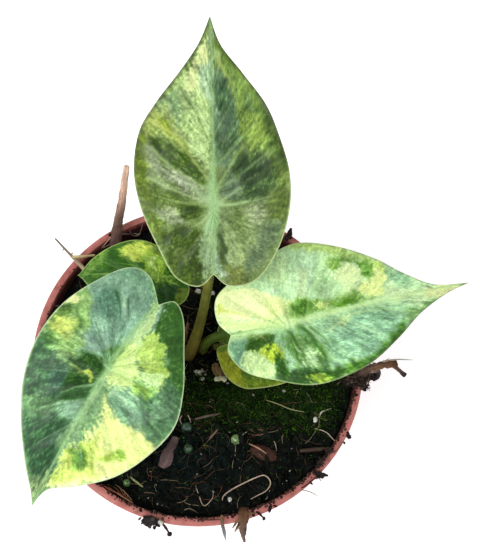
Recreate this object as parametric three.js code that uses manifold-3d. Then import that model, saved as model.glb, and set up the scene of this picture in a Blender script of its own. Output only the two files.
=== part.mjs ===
// A young variegated alocasia in a 12 cm plastic nursery pot.
// Millimetres, +Z up. The origin is the centre of the pot's underside, and +Y points to the plant's back.
import * as THREE from "three";
import { mergeVertices } from "three/addons/utils/BufferGeometryUtils.js";
import Module from "manifold-3d";

const wasm = await Module();
wasm.setup();

// Pot
const POT_HEIGHT = 102;
const RIM_RADIUS = 60;
const LIP_WIDTH = 2.7;
const LIP_HEIGHT = 2.6;
const COLLAR_HEIGHT = 16;
const BASE_RADIUS = 42;
const WALL = 1.4;
const FLOOR = 1.8;
const POT_SEGMENTS = 52;
const DRAIN_HOLES = 8;
const DRAIN_HOLE_RADIUS = 4.5;
const DRAIN_RING_RADIUS = 29;

// Potting mix
const GAP = 0.35;
const MIX_LEVEL = 95.8;
const MIX_SLOPE = 2;
const MIX_BUMP = 0.9;
const MIX_RINGS = 12;
const MIX_SECTORS = 40;
const LOOSE_GRAINS = 12;

// Rootstock
const CROWN = new THREE.Vector3(-2.2, 2, 83.4);
const CORM_RADIUS = 8.6;
const CORM_DEPTH = 24;
const ROOTS = 5;

// Leaves
const BLADE_THICKNESS = 0.7;
const MIDRIB_DEPTH = 1.5;
const FOOT_LEVEL = 83.9;
const BLADE_ROWS = [0, 0.12, 0.36, 0.62, 0.84, 1];
const VEIN_BOW = 0.12;

// Where the side veins of one half run: the share of the margin at which each ends,
// and the share of the midrib, from the petiole to the tip, at which it starts.
const VEINS = [
  [0.1, -0.03],
  [0.22, -0.018],
  [0.34, -0.006],
  [0.46, 0.015],
  [0.58, 0.09],
  [0.69, 0.21],
  [0.79, 0.37],
  [0.89, 0.58],
];
// Columns of a half blade: on each vein and half way between two, with one more in the lobe
const VEIN_ENDS = [0, ...VEINS.map(([share]) => share), 1];
const BLADE_COLUMNS = VEIN_ENDS.slice(1).flatMap((end, i) => [(VEIN_ENDS[i] + end) / 2, end]);
BLADE_COLUMNS.unshift(0, 0.025);

// One entry a leaf. place is the petiole's joint with the blade; heading and rise point the tip,
// in degrees. notch and tip are [along, across] pairs, and each margin runs between them.
const LEAVES = {
  back: {
    place: [2, 23.2, 176],
    heading: 91.5,
    rise: 30,
    roll: 0,
    tipBend: 0.006,
    lobeBend: 0.004,
    groove: 0.1,
    crown: 0.004,
    puff: 0.5,
    wave: 0.5,
    notch: [-19.9, 0],
    tip: [57.7, 0.4],
    left: [
      [-23.6, 4.6], [-20.6, 11.5], [-11.8, 16.4], [-0.5, 21.2], [10.8, 23.3], [22.4, 21.7],
      [31, 16.7], [40.5, 9.4], [49, 3.9],
    ],
    right: [
      [-23.6, -5], [-21.4, -13.2], [-12.2, -19.5], [-0.7, -22.7], [10.7, -22.6], [22.5, -19.2],
      [31, -15.6], [40, -8.9], [48.6, -2.6],
    ],
    petiole: [
      [-3.6, 0.4, FOOT_LEVEL], [-3.6, 1.6, 96], [-0.7, 6.9, 112], [1.9, 14.4, 139], [2.5, 20, 162],
      [2, 23.4, 177],
    ],
    thickness: [2, 2.3, 1.8, 1.65, 1.55, 1.5],
    colour: 0x5f7f3c,
  },
  right: {
    place: [26.2, -4.1, 150],
    heading: 16,
    rise: 3,
    roll: 4,
    tipBend: 0.007,
    lobeBend: 0.008,
    groove: 0.16,
    crown: 0.006,
    puff: 0.9,
    wave: 0.8,
    notch: [-18, 1.9],
    tip: [69.3, 0.4],
    left: [
      [-20.8, 7.4], [-18.6, 15.2], [-9, 20], [1, 23.2], [11.5, 25], [24.4, 20.8], [35, 14.3],
      [43, 7.4], [54, 1.7],
    ],
    right: [
      [-20.3, -3.4], [-16.7, -10.9], [-8.4, -16], [1, -20.3], [10, -21], [22, -18.7],
      [33.9, -13.1], [45, -6.7], [58, -2],
    ],
    petiole: [
      [0.7, 3.1, FOOT_LEVEL], [0.9, 3.6, 96], [3, 4.2, 106.5], [9.8, 3, 118.8], [19, -0.6, 136],
      [25.6, -3.9, 150.5],
    ],
    thickness: [1.8, 2, 1.7, 1.6, 1.5, 1.4],
    colour: 0x8db85a,
  },
  front: {
    place: [-28.8, -18.2, 150],
    heading: -121,
    rise: -8,
    roll: 0,
    tipBend: 0.014,
    lobeBend: 0.012,
    groove: 0.28,
    crown: 0.009,
    puff: 0.8,
    wave: 0.9,
    notch: [-24.9, 2.1],
    tip: [52.6, -1],
    left: [
      [-28.3, 6], [-24.6, 11.4], [-15, 17.6], [-4.5, 23.8], [5.5, 26.8], [16.5, 24.2], [26.5, 19],
      [35, 10.6], [43.4, 1.6],
    ],
    right: [
      [-31.6, -5.2], [-30.4, -12.6], [-21, -18.7], [-9.3, -22.9], [3.5, -23.5], [16, -20.7],
      [27, -15.6], [36.5, -9.5], [46, -3.6],
    ],
    petiole: [
      [-7.4, -1.5, FOOT_LEVEL], [-8.3, -2.2, 96], [-12.5, -4.8, 112], [-19.5, -9.6, 128],
      [-26.4, -15.6, 143], [-29, -18.2, 151],
    ],
    thickness: [1.8, 2.1, 1.8, 1.7, 1.55, 1.45],
    colour: 0x4d8a4a,
  },
  small_left: {
    place: [-14.8, 21.3, 126],
    heading: 172,
    rise: -8,
    roll: 0,
    tipBend: 0.012,
    lobeBend: 0.01,
    groove: 0.2,
    crown: 0.01,
    puff: 0.5,
    wave: 0.4,
    notch: [-9, 0],
    tip: [31, 0.4],
    left: [
      [-11.2, 3.6], [-10.3, 8.2], [-6.4, 10.8], [-0.5, 12.3], [6, 13], [12.5, 12], [19, 9.3],
      [24.6, 5.4], [28.4, 2],
    ],
    right: [
      [-11.3, -3.4], [-9.8, -7.4], [-5, -9.9], [0.5, -10.6], [7, -12.6], [13.5, -12.5],
      [20.4, -9.9], [26, -5.6], [29, -1.8],
    ],
    petiole: [
      [-5.8, 4.9, FOOT_LEVEL], [-7.6, 6, 96], [-9.7, 10, 107], [-12.4, 15.4, 117],
      [-14.6, 20.6, 126.6],
    ],
    thickness: [1.5, 1.6, 1.3, 1.15, 1.05],
    colour: 0x3f7a2c,
  },
  small_right: {
    place: [17.9, 2.4, 107.5],
    heading: 2,
    rise: -1,
    roll: 0,
    tipBend: 0.008,
    lobeBend: 0.01,
    groove: 0.2,
    crown: 0.01,
    puff: 0.4,
    wave: 0.3,
    notch: [-8.6, 0.6],
    tip: [35, 0],
    left: [
      [-11.6, 2.4], [-11.2, 6.8], [-8.4, 11.6], [-3, 14.6], [4, 15.2], [12, 13.6], [19.5, 10],
      [26, 5.8], [31, 2],
    ],
    right: [
      [-11.9, -1.2], [-11.3, -6], [-8.6, -12], [-3.3, -15.8], [3, -16.1], [11.5, -14.4],
      [19, -10.8], [25.5, -6.5], [31, -2.2],
    ],
    petiole: [[3.9, 5.3, FOOT_LEVEL], [5.4, 4.9, 96], [8.6, 4, 101], [13, 3, 104.8], [17.4, 2.5, 108]],
    thickness: [1.3, 1.4, 1.2, 1.1, 1],
    colour: 0x7d8f2e,
  },
};

// Dead wood and bark that lie in the mix or over the rim
const STICK = {
  path: [
    [-33, 37.5, 87], [-33.6, 42, 100], [-32.6, 47, 107.6], [-30.2, 52.8, 113],
    [-28.6, 58.8, 118.4], [-27.5, 65.3, 124],
  ],
  radii: [1.7, 1.7, 1.7, 1.45, 1.15, 0.9],
};
const THORNY_TWIG = {
  path: [
    [-38.5, 29.4, 93], [-42.2, 32.3, 101], [-47.5, 36.9, 105.2], [-50.5, 39.6, 107],
    [-53.6, 42.4, 109],
  ],
  radii: [0.8, 0.8, 0.7, 0.45, 0.3],
};
const THORNY_SHOOT = {
  path: [[-47.3, 36.7, 105.1], [-43.6, 37, 105.2], [-39.4, 38.4, 103.4]],
  radii: [0.65, 0.65, 0.4],
};
const HANGING_TWIGS = [
  {
    path: [
      [48, -4, 92], [53.6, -5.2, 100.4], [58.6, -6.2, 104.8], [65.5, -5.6, 104.6],
      [70.8, -2.4, 103], [75.9, -0.3, 101],
    ],
    radii: [1.3, 1.5, 1.7, 1.5, 1, 0.5],
  },
  {
    path: [[58.6, -6.4, 105], [66, -8.4, 103.6], [72, -8.2, 101.6], [77, -6.7, 99.4]],
    radii: [1.2, 1, 0.7, 0.6],
  },
  {
    path: [[58.8, -6, 105], [63.6, -3, 106], [67.4, 0.6, 105]],
    radii: [1.2, 0.8, 0.5],
  },
];
const SHEATH = {
  path: [[-6.4, 2.6, 90], [-6.9, 3.4, 97], [-5.6, 6.4, 104], [-4.4, 9.6, 110]],
  radii: [0.8, 1.2, 1, 0.5],
  flatness: 0.45,
};
const RIM_SHRED = {
  path: [
    [12.4, -49.5, 92], [12.8, -51.4, 101], [13.8, -57.6, 105], [15, -62, 103.2], [15.3, -64, 99],
    [14, -64.6, 94.5],
  ],
  radii: [1.1, 1.2, 1.5, 1.4, 1.3, 0.6],
  flatness: 0.4,
};
// Bark and clods: middle, half sizes and the turn about Z in degrees
const CHIPS = {
  bark_front: { at: [-10.9, -35.3], sizes: [6.4, 3.1, 1.9], turn: 62, colour: 0x5a4440 },
  bark_right: { at: [23.3, -34.6], sizes: [4.6, 2.1, 1.4], turn: -20, colour: 0x6e4a3a },
  bark_crown: { at: [7, -4.6], sizes: [3.3, 1.9, 1.7], turn: -58, colour: 0x6b5138 },
};
const CHIP_SEED = 70;
const RIM_CLOD = { at: [-13.6, -58.6, 104.2], sizes: [3.4, 1.9, 1.8], turn: 10, colour: 0x2e2a22 };

// Perlite and prills that show in front of the crown: middle and radius
const NAMED_GRAINS = [
  [7.2, -8.6, 2],
  [11.4, -11, 0.9],
  [0.6, -5.4, 1.8],
  [1.4, -8.6, 1.2],
  [41.8, -22, 1.4],
  [-15.3, -52.6, 1.3],
  [0.2, 26.1, 1.4],
  [5.6, 27.6, 1.2],
  [-4.3, -25.7, 1.8],
  [-3.2, -32.8, 1.8],
  [13.1, -30, 1.8],
  [-17, -44, 1.8],
];
// Pale roots that loop out of the mix, each as [x, y, height above the mix] with one radius
const SURFACE_ROOTS = [
  [
    [8, -51.6, -0.4], [9.6, -47.9, 0.8], [14.3, -44.9, 1.2], [20.6, -43.2, 1], [24.1, -45.3, 0.8],
    [22.4, -48.4, 0.3], [18.6, -50, -0.4],
  ],
  [[-1.6, -46, 0.5], [-0.4, -49.4, 0.6], [1.4, -52, -0.2], [3.6, -50, 0.6], [5.2, -47.2, 0.4]],
  [[24.8, -15.6, -0.3], [32.2, -17.6, 0.6], [38.3, -20.4, 0.7], [42, -25, 0.6], [46.4, -27.6, -0.3]],
];
const ROOT_RADIUS = 0.6;

// A seeded random number from 0 to 1
function randomFrom(seed) {
  let state = seed;
  return () => {
    state = (state + 0x6d2b79f5) | 0;
    let t = Math.imul(state ^ (state >>> 15), 1 | state);
    t = (t + Math.imul(t ^ (t >>> 7), 61 | t)) ^ t;
    return ((t ^ (t >>> 14)) >>> 0) / 4294967296;
  };
}

const degrees = THREE.MathUtils.degToRad;
const vector = (numbers) => new THREE.Vector3(...numbers);

function geometryFrom(positions, triangles) {
  const geometry = new THREE.BufferGeometry();
  geometry.setAttribute("position", new THREE.Float32BufferAttribute(positions.flat(), 3));
  geometry.setIndex(triangles.flat());
  return geometry;
}

// Closed geometry to a solid that can be joined and cut, and back
function toSolid(geometry) {
  const bare = geometry.clone();
  bare.deleteAttribute("normal");
  bare.deleteAttribute("uv");
  const merged = mergeVertices(bare, 1e-4);
  return new wasm.Manifold(
    new wasm.Mesh({
      numProp: 3,
      vertProperties: new Float32Array(merged.attributes.position.array),
      triVerts: new Uint32Array(merged.index.array),
    }),
  );
}

function toGeometry(solid) {
  const mesh = solid.getMesh();
  const geometry = new THREE.BufferGeometry();
  geometry.setAttribute("position", new THREE.BufferAttribute(mesh.vertProperties, 3));
  geometry.setIndex(new THREE.BufferAttribute(mesh.triVerts, 1));
  return geometry;
}

// A value read from an evenly spaced list, at a share from 0 to 1
function along(list, share) {
  const place = share * (list.length - 1);
  const first = Math.min(Math.floor(place), list.length - 2);
  return THREE.MathUtils.lerp(list[first], list[first + 1], place - first);
}

// A tapered rod along a smooth curve, closed at both ends. extra widens it all round.
function rod({ path, radii, flatness = 1 }, sides, steps, extra = 0) {
  const curve = new THREE.CatmullRomCurve3(path.map(vector), false, "centripetal");
  const frames = curve.computeFrenetFrames(steps, false);
  const positions = [];
  const triangles = [];
  for (let i = 0; i <= steps; i++) {
    const middle = curve.getPointAt(i / steps);
    const radius = along(radii, i / steps);
    for (let k = 0; k < sides; k++) {
      const turn = (2 * Math.PI * k) / sides;
      const point = middle.clone();
      point.addScaledVector(frames.normals[i], (radius + extra) * Math.cos(turn));
      point.addScaledVector(frames.binormals[i], (radius * flatness + extra) * Math.sin(turn));
      positions.push(point.toArray());
    }
  }
  const first = positions.length;
  positions.push(curve.getPoint(0).addScaledVector(frames.tangents[0], -extra).toArray());
  positions.push(curve.getPoint(1).addScaledVector(frames.tangents[steps], extra).toArray());
  for (let k = 0; k < sides; k++) {
    const next = (k + 1) % sides;
    for (let i = 0; i < steps; i++) {
      const low = i * sides;
      const high = low + sides;
      triangles.push([low + k, low + next, high + next], [low + k, high + next, high + k]);
    }
    triangles.push([first, next, k], [first + 1, steps * sides + k, steps * sides + next]);
  }
  return geometryFrom(positions, triangles);
}

// Uniform Catmull-Rom through a list of [along, across] pairs, at a share from 0 to 1
function marginPoint(points, share) {
  const place = share * (points.length - 1);
  const i = Math.min(Math.floor(place), points.length - 2);
  const t = place - i;
  const pick = (k) => points[Math.max(0, Math.min(points.length - 1, k))];
  return [0, 1].map((axis) => {
    const [a, b, c, d] = [pick(i - 1), pick(i), pick(i + 1), pick(i + 2)].map((p) => p[axis]);
    return b + 0.5 * t * (c - a + t * (2 * a - 5 * b + 4 * c - d + t * (3 * (b - c) + d - a)));
  });
}

function leafFrame(leaf) {
  const heading = degrees(leaf.heading);
  const rise = degrees(leaf.rise);
  const roll = degrees(leaf.roll);
  const axis = new THREE.Vector3(
    Math.cos(rise) * Math.cos(heading),
    Math.cos(rise) * Math.sin(heading),
    Math.sin(rise),
  );
  const level = new THREE.Vector3(-Math.sin(heading), Math.cos(heading), 0);
  const upright = axis.clone().cross(level);
  const side = level.multiplyScalar(Math.cos(roll)).addScaledVector(upright, Math.sin(roll));
  return { origin: vector(leaf.place), axis, side, normal: axis.clone().cross(side) };
}

// A point of a leaf: u along the bent midrib, x across it, lift above the bent sheet
function leafPoint(leaf, frame, u, x, lift) {
  const bend = u > 0 ? leaf.tipBend : leaf.lobeBend;
  const turn = bend * u;
  const section = leaf.groove * (Math.hypot(x, 2) - 2) - leaf.crown * x * x;
  const up = section + lift;
  return frame.origin
    .clone()
    .addScaledVector(frame.axis, Math.sin(turn) / bend + up * Math.sin(turn))
    .addScaledVector(frame.side, x)
    .addScaledVector(frame.normal, up * Math.cos(turn) - (1 - Math.cos(turn)) / bend);
}

// Where on the midrib the line to a share of the margin starts, and how many veins lie before it
function veinAt(leaf, share) {
  const stops = [[0, leaf.notch[0] / leaf.tip[0]], ...VEINS, [1, 1]];
  let i = 0;
  while (i < stops.length - 2 && share > stops[i + 1][0]) i++;
  const part = (share - stops[i][0]) / (stops[i + 1][0] - stops[i][0]);
  return {
    start: leaf.tip[0] * THREE.MathUtils.lerp(stops[i][1], stops[i + 1][1], part),
    count: i + part,
  };
}

// The midrib leaves the straight line towards the notch and the tip
function midribSway(leaf, u) {
  const [endU, endX] = u < 0 ? leaf.notch : leaf.tip;
  return endX * (u / endU) ** 2;
}

// A blade's sheet at a share of the margin and a share of the way out to it
function bladeSpot(leaf, margin, share, out) {
  const [endU, endX] = marginPoint(margin, share);
  const { start, count } = veinAt(leaf, share);
  const u = start + (endU - start) * out - VEIN_BOW * Math.abs(endX) * 2 * out * (1 - out);
  const x = THREE.MathUtils.lerp(midribSway(leaf, start), endX, out);
  const between = Math.sin(Math.PI * count) ** 2;
  const puff = leaf.puff * between * Math.sin(Math.PI * out ** 0.8) * Math.min(1, Math.abs(endX) / 12);
  const wave = leaf.wave * out ** 3 * Math.sin(Math.PI * (5 * share + (endX > 0 ? 0.3 : 0)));
  const fade = Math.sin(Math.PI * share);
  return { u, x, lift: puff + wave * fade };
}

// The midrib stands out below the blade from the petiole to the tip
function midribDepth(leaf, u) {
  const begin = THREE.MathUtils.smoothstep(u, 2.2, 6);
  return MIDRIB_DEPTH * begin * Math.max(0, 1 - u / leaf.tip[0]) ** 0.7 * (leaf.tip[0] / 60);
}

function bladeGeometry(leaf) {
  const frame = leafFrame(leaf);
  const halves = [leaf.left, leaf.right].map((half) => [leaf.notch, ...half, leaf.tip]);
  const last = BLADE_ROWS.length - 1;
  const lastColumn = BLADE_COLUMNS.length - 1;
  const positions = [];
  const triangles = [];
  const known = new Map();
  // One vertex for each face, half, column and row; the notch, the tip and the midrib are shared
  function vertex(face, half, column, row) {
    const end = column === 0 || column === lastColumn;
    const place = end ? `${column}` : `${column} ${row}`;
    const key = end || row === 0 ? `${face} ${place}` : `${face} ${place} ${half}`;
    if (!known.has(key)) {
      const spot = bladeSpot(leaf, halves[half], BLADE_COLUMNS[column], BLADE_ROWS[row]);
      const rib = row === 0 && !end ? midribDepth(leaf, spot.u) : 0;
      const lift = face === "top" ? spot.lift : spot.lift - BLADE_THICKNESS - rib;
      known.set(key, positions.length);
      positions.push(leafPoint(leaf, frame, spot.u, spot.x, lift).toArray());
    }
    return known.get(key);
  }
  function add(corners, turned) {
    const [a, b, c] = turned ? [...corners].reverse() : corners;
    if (a !== b && b !== c && c !== a) triangles.push([a, b, c]);
  }
  for (const half of [0, 1]) {
    for (let column = 0; column < lastColumn; column++) {
      for (let row = 0; row < last; row++) {
        for (const face of ["top", "under"]) {
          const turned = (half === 1) !== (face === "under");
          const a = vertex(face, half, column, row);
          const b = vertex(face, half, column + 1, row);
          const c = vertex(face, half, column + 1, row + 1);
          const d = vertex(face, half, column, row + 1);
          add([a, b, c], turned);
          add([a, c, d], turned);
        }
      }
      const [upper, upperNext] = [column, column + 1].map((k) => vertex("top", half, k, last));
      const [lower, lowerNext] = [column, column + 1].map((k) => vertex("under", half, k, last));
      add([upper, upperNext, lowerNext], half === 1);
      add([upper, lowerNext, lower], half === 1);
    }
  }
  return geometryFrom(positions, triangles);
}

// A block over the petiole's joint that starts a gap below the blade: it cuts the petiole's top to fit
function jointCutter(leaf) {
  const frame = leafFrame(leaf);
  const cells = 8;
  const reach = 6;
  const positions = [];
  const triangles = [];
  for (const lift of [-BLADE_THICKNESS - GAP, 9]) {
    for (let i = 0; i <= cells; i++) {
      for (let j = 0; j <= cells; j++) {
        const u = reach * ((2 * i) / cells - 1);
        const x = reach * ((2 * j) / cells - 1);
        positions.push(leafPoint(leaf, frame, u, x, lift).toArray());
      }
    }
  }
  const at = (layer, i, j) => layer * (cells + 1) ** 2 + i * (cells + 1) + j;
  for (let i = 0; i < cells; i++) {
    for (let j = 0; j < cells; j++) {
      const [a, e] = [at(0, i, j), at(1, i, j)];
      const [b, f] = [at(0, i + 1, j), at(1, i + 1, j)];
      const [c, g] = [at(0, i + 1, j + 1), at(1, i + 1, j + 1)];
      const [d, h] = [at(0, i, j + 1), at(1, i, j + 1)];
      triangles.push([a, c, b], [a, d, c], [e, f, g], [e, g, h]);
    }
    const sides = [
      [at(0, i, 0), at(0, i + 1, 0), at(1, i + 1, 0), at(1, i, 0)],
      [at(0, i + 1, cells), at(0, i, cells), at(1, i, cells), at(1, i + 1, cells)],
      [at(0, 0, i + 1), at(0, 0, i), at(1, 0, i), at(1, 0, i + 1)],
      [at(0, cells, i), at(0, cells, i + 1), at(1, cells, i + 1), at(1, cells, i)],
    ];
    for (const [a, b, c, d] of sides) triangles.push([a, b, c], [a, c, d]);
  }
  return toSolid(geometryFrom(positions, triangles));
}

function petioleRod(leaf) {
  return { path: leaf.petiole, radii: leaf.thickness };
}

function petioleSolid(leaf) {
  return toSolid(rod(petioleRod(leaf), 8, 12)).subtract(jointCutter(leaf));
}

// The hole a rod stands in: its first stretch and a little more, wider by the gap
function holeFor({ path, radii, flatness }, sides) {
  const [foot, collar, above] = path.map(vector);
  const end = collar.clone().lerp(above, 0.5);
  const shortPath = [foot, collar, end].map((point) => point.toArray());
  const buried = { path: shortPath, radii: radii.slice(0, 2), flatness };
  return toSolid(rod(buried, sides, 4, 1.4 * GAP));
}

// Rootstock with rings of old leaf scars and thick roots that spread down into the mix
function rootstockSolid(extra = 0) {
  const profile = [
    [0, CROWN.z - CORM_DEPTH - extra],
    [CORM_RADIUS * 0.45 + extra, CROWN.z - CORM_DEPTH - extra],
    [CORM_RADIUS * 0.86 + extra, CROWN.z - CORM_DEPTH * 0.72],
    [CORM_RADIUS + extra, CROWN.z - CORM_DEPTH * 0.4],
    [CORM_RADIUS * 0.94 + extra, CROWN.z - CORM_DEPTH * 0.3],
    [CORM_RADIUS * 1.02 + extra, CROWN.z - CORM_DEPTH * 0.16],
    [CORM_RADIUS * 0.95 + extra, CROWN.z + extra],
    [0, CROWN.z + extra],
  ].map(([r, z]) => new THREE.Vector2(r, z));
  const body = new THREE.LatheGeometry(profile, 12);
  body.rotateX(Math.PI / 2);
  body.translate(CROWN.x, CROWN.y, 0);
  let solid = toSolid(body);
  for (let k = 0; k < ROOTS; k++) {
    const turn = (2 * Math.PI * (k + 0.3)) / ROOTS;
    const spread = (reach, z) => [CROWN.x + reach * Math.cos(turn), CROWN.y + reach * Math.sin(turn), z];
    const drop = 6 * (k % 2);
    const path = [spread(4, 70 - drop), spread(12, 65 - drop), spread(20, 52 - drop), spread(23, 32 - drop)];
    solid = solid.add(toSolid(rod({ path, radii: [1.9, 1.7, 1.4, 0.8] }, 5, 5, extra)));
  }
  return solid;
}

// Height of the mix: higher to the front right, mounded round the crown, lumpy all over
function mixHeight(x, y) {
  const slope = (MIX_SLOPE * (0.6 * x - 0.8 * y)) / RIM_RADIUS;
  const mound = Math.exp(-((x - CROWN.x) ** 2 + (y - CROWN.y) ** 2) / 260);
  const lumps =
    Math.sin(0.31 * x + 0.9) * Math.cos(0.27 * y - 0.4) +
    0.6 * Math.sin(0.62 * x - 0.5 * y + 2.1) +
    0.4 * Math.cos(0.9 * x + 0.74 * y);
  return MIX_LEVEL + slope + mound + MIX_BUMP * lumps;
}

// Inside radius of the pot at a height below the collar
function innerRadius(z) {
  const top = POT_HEIGHT - COLLAR_HEIGHT;
  return THREE.MathUtils.lerp(BASE_RADIUS - WALL, BASE_RADIUS + 12.2 - WALL, z / top);
}

function mixBody() {
  const collarInside = RIM_RADIUS - LIP_WIDTH - 0.4 - GAP;
  const shoulder = POT_HEIGHT - COLLAR_HEIGHT;
  const side = [
    [collarInside, shoulder + 4.4],
    [innerRadius(shoulder) - 1.5 * GAP, shoulder + 0.4],
    [innerRadius(FLOOR) - 4 * GAP, FLOOR + GAP],
  ];
  const positions = [[0, 0, mixHeight(0, 0)]];
  const rings = MIX_RINGS + side.length;
  for (let ring = 0; ring < rings; ring++) {
    for (let k = 0; k < MIX_SECTORS; k++) {
      const turn = (2 * Math.PI * (k + 0.5 * (ring % 2) * (ring < MIX_RINGS - 1))) / MIX_SECTORS;
      const onTop = ring < MIX_RINGS;
      const radius = onTop ? (collarInside * (ring + 1)) / MIX_RINGS : side[ring - MIX_RINGS][0];
      const [x, y] = [radius * Math.cos(turn), radius * Math.sin(turn)];
      positions.push([x, y, onTop ? mixHeight(x, y) : side[ring - MIX_RINGS][1]]);
    }
  }
  const bottom = positions.length;
  positions.push([0, 0, FLOOR + GAP]);
  const at = (ring, k) => 1 + ring * MIX_SECTORS + (k % MIX_SECTORS);
  const triangles = [];
  for (let k = 0; k < MIX_SECTORS; k++) {
    triangles.push([0, at(0, k), at(0, k + 1)], [bottom, at(rings - 1, k + 1), at(rings - 1, k)]);
    for (let ring = 0; ring < rings - 1; ring++) {
      const [a, b] = [at(ring, k), at(ring, k + 1)];
      const [c, d] = [at(ring + 1, k), at(ring + 1, k + 1)];
      triangles.push([a, c, d], [a, d, b]);
    }
  }
  return toSolid(geometryFrom(positions, triangles));
}

// An angular lump: an icosahedron with seeded knocks, stretched and turned
function lump(middle, sizes, turn, seed, detail = 0) {
  const random = randomFrom(seed);
  const bare = new THREE.IcosahedronGeometry(1, detail);
  bare.deleteAttribute("normal");
  bare.deleteAttribute("uv");
  const geometry = mergeVertices(bare, 1e-4);
  const points = geometry.attributes.position;
  for (let i = 0; i < points.count; i++) {
    const knock = 0.82 + 0.3 * random();
    points.setXYZ(i, points.getX(i) * knock, points.getY(i) * knock, points.getZ(i) * knock);
  }
  geometry.scale(...sizes);
  geometry.rotateZ(degrees(turn));
  geometry.translate(...middle);
  return geometry;
}

function chipMiddle(chip) {
  const [x, y] = chip.at;
  return [x, y, mixHeight(x, y) + chip.sizes[2] * 0.45];
}

function chipGeometry(chip, seed, extra = 0) {
  const sizes = chip.sizes.map((size) => size + extra);
  return lump(chipMiddle(chip), sizes, chip.turn, seed, 1);
}

// Grains stand half out of the mix. The loose ones are spread by seeded draws.
function grainSpots() {
  const random = randomFrom(11);
  const spots = NAMED_GRAINS.map(([x, y, radius]) => ({ x, y, radius }));
  while (spots.length < NAMED_GRAINS.length + LOOSE_GRAINS) {
    const turn = 2 * Math.PI * random();
    const reach = 14 + 37 * Math.sqrt(random());
    const [x, y] = [reach * Math.cos(turn), reach * Math.sin(turn)];
    const radius = 0.9 + 0.9 * random();
    const clear = Object.values(CHIPS).every(({ at }) => Math.hypot(x - at[0], y - at[1]) > 10);
    if (clear && x > -30) spots.push({ x, y, radius });
  }
  return spots;
}

function pottingMixSolid() {
  let solid = mixBody();
  grainSpots().forEach(({ x, y, radius }, index) => {
    const middle = [x, y, mixHeight(x, y) + radius * 0.3];
    solid = solid.add(toSolid(lump(middle, [radius, radius * 0.9, radius * 0.85], 50 * index, 300 + index)));
  });
  for (const root of SURFACE_ROOTS) {
    const path = root.map(([x, y, up]) => [x, y, mixHeight(x, y) + up]);
    const radii = [ROOT_RADIUS, ROOT_RADIUS];
    solid = solid.add(toSolid(rod({ path, radii }, 4, 3 * (path.length - 1))));
  }
  solid = solid.subtract(rootstockSolid(GAP));
  for (const leaf of Object.values(LEAVES)) solid = solid.subtract(holeFor(petioleRod(leaf), 8));
  solid = solid.subtract(holeFor(STICK, 7)).subtract(holeFor(THORNY_TWIG, 5));
  solid = solid.subtract(holeFor(HANGING_TWIGS[0], 6)).subtract(holeFor(SHEATH, 8));
  solid = solid.subtract(holeFor(RIM_SHRED, 8));
  Object.values(CHIPS).forEach((chip, index) => {
    solid = solid.subtract(toSolid(chipGeometry(chip, CHIP_SEED + index, GAP)));
  });
  const bodies = solid.decompose().sort((a, b) => b.volume() - a.volume());
  return bodies[0];
}

function potSolid() {
  const shoulder = POT_HEIGHT - COLLAR_HEIGHT;
  const inside = RIM_RADIUS - LIP_WIDTH;
  const wallTop = BASE_RADIUS + 12.2;
  const profile = [
    [0, 0],
    [BASE_RADIUS - 1.4, 0],
    [BASE_RADIUS, 1.2],
    [wallTop, shoulder - 1.4],
    [RIM_RADIUS - 1.9, shoulder + 0.4],
    [RIM_RADIUS - 1.3, POT_HEIGHT - LIP_HEIGHT - 0.9],
    [RIM_RADIUS, POT_HEIGHT - LIP_HEIGHT],
    [RIM_RADIUS, POT_HEIGHT - 0.7],
    [RIM_RADIUS - 0.6, POT_HEIGHT],
    [inside + 0.5, POT_HEIGHT],
    [inside, POT_HEIGHT - 0.5],
    [inside - 0.4, shoulder + 2],
    [wallTop - WALL, shoulder],
    [BASE_RADIUS - WALL, FLOOR + 0.6],
    [BASE_RADIUS - WALL - 0.8, FLOOR],
    [0, FLOOR],
  ].map(([r, z]) => new THREE.Vector2(r, z));
  const geometry = new THREE.LatheGeometry(profile, POT_SEGMENTS);
  geometry.rotateX(Math.PI / 2);
  let solid = toSolid(geometry);
  for (let k = 0; k < DRAIN_HOLES; k++) {
    const turn = (2 * Math.PI * k) / DRAIN_HOLES;
    const hole = new THREE.CylinderGeometry(DRAIN_HOLE_RADIUS, DRAIN_HOLE_RADIUS, 6, 14);
    hole.rotateX(Math.PI / 2);
    hole.translate(DRAIN_RING_RADIUS * Math.cos(turn), DRAIN_RING_RADIUS * Math.sin(turn), 0);
    solid = solid.subtract(toSolid(hole));
  }
  return solid;
}

function joined(specs, sides, steps) {
  const solids = specs.map((spec) => toSolid(rod(spec, sides, steps)));
  return toGeometry(solids.reduce((all, one) => all.add(one)));
}

const plant = new THREE.Group();
function addPiece(name, geometry, colour, roughness) {
  const material = new THREE.MeshStandardMaterial({ color: colour, roughness, metalness: 0 });
  const mesh = new THREE.Mesh(geometry, material);
  mesh.name = name;
  plant.add(mesh);
}

addPiece("pot", toGeometry(potSolid()), 0xb86553, 0.55);
addPiece("potting_mix", toGeometry(pottingMixSolid()), 0x241d18, 0.95);
addPiece("rootstock", toGeometry(rootstockSolid()), 0x8a6a4a, 0.85);
for (const [name, leaf] of Object.entries(LEAVES)) {
  addPiece(`blade_${name}`, bladeGeometry(leaf), leaf.colour, 0.35);
  addPiece(`petiole_${name}`, toGeometry(petioleSolid(leaf)), 0x6d7a35, 0.5);
}
addPiece("petiole_sheath", rod(SHEATH, 8, 7), 0x6e4436, 0.8);
addPiece("wooden_stick", rod(STICK, 7, 10), 0xb08468, 0.85);
addPiece("thorny_twig", joined([THORNY_TWIG, THORNY_SHOOT], 5, 9), 0xb9a070, 0.8);
addPiece("hanging_twigs", joined(HANGING_TWIGS, 6, 10), 0x6a4630, 0.9);
addPiece("rim_shred", rod(RIM_SHRED, 8, 9), 0x5b4130, 0.9);
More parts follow.
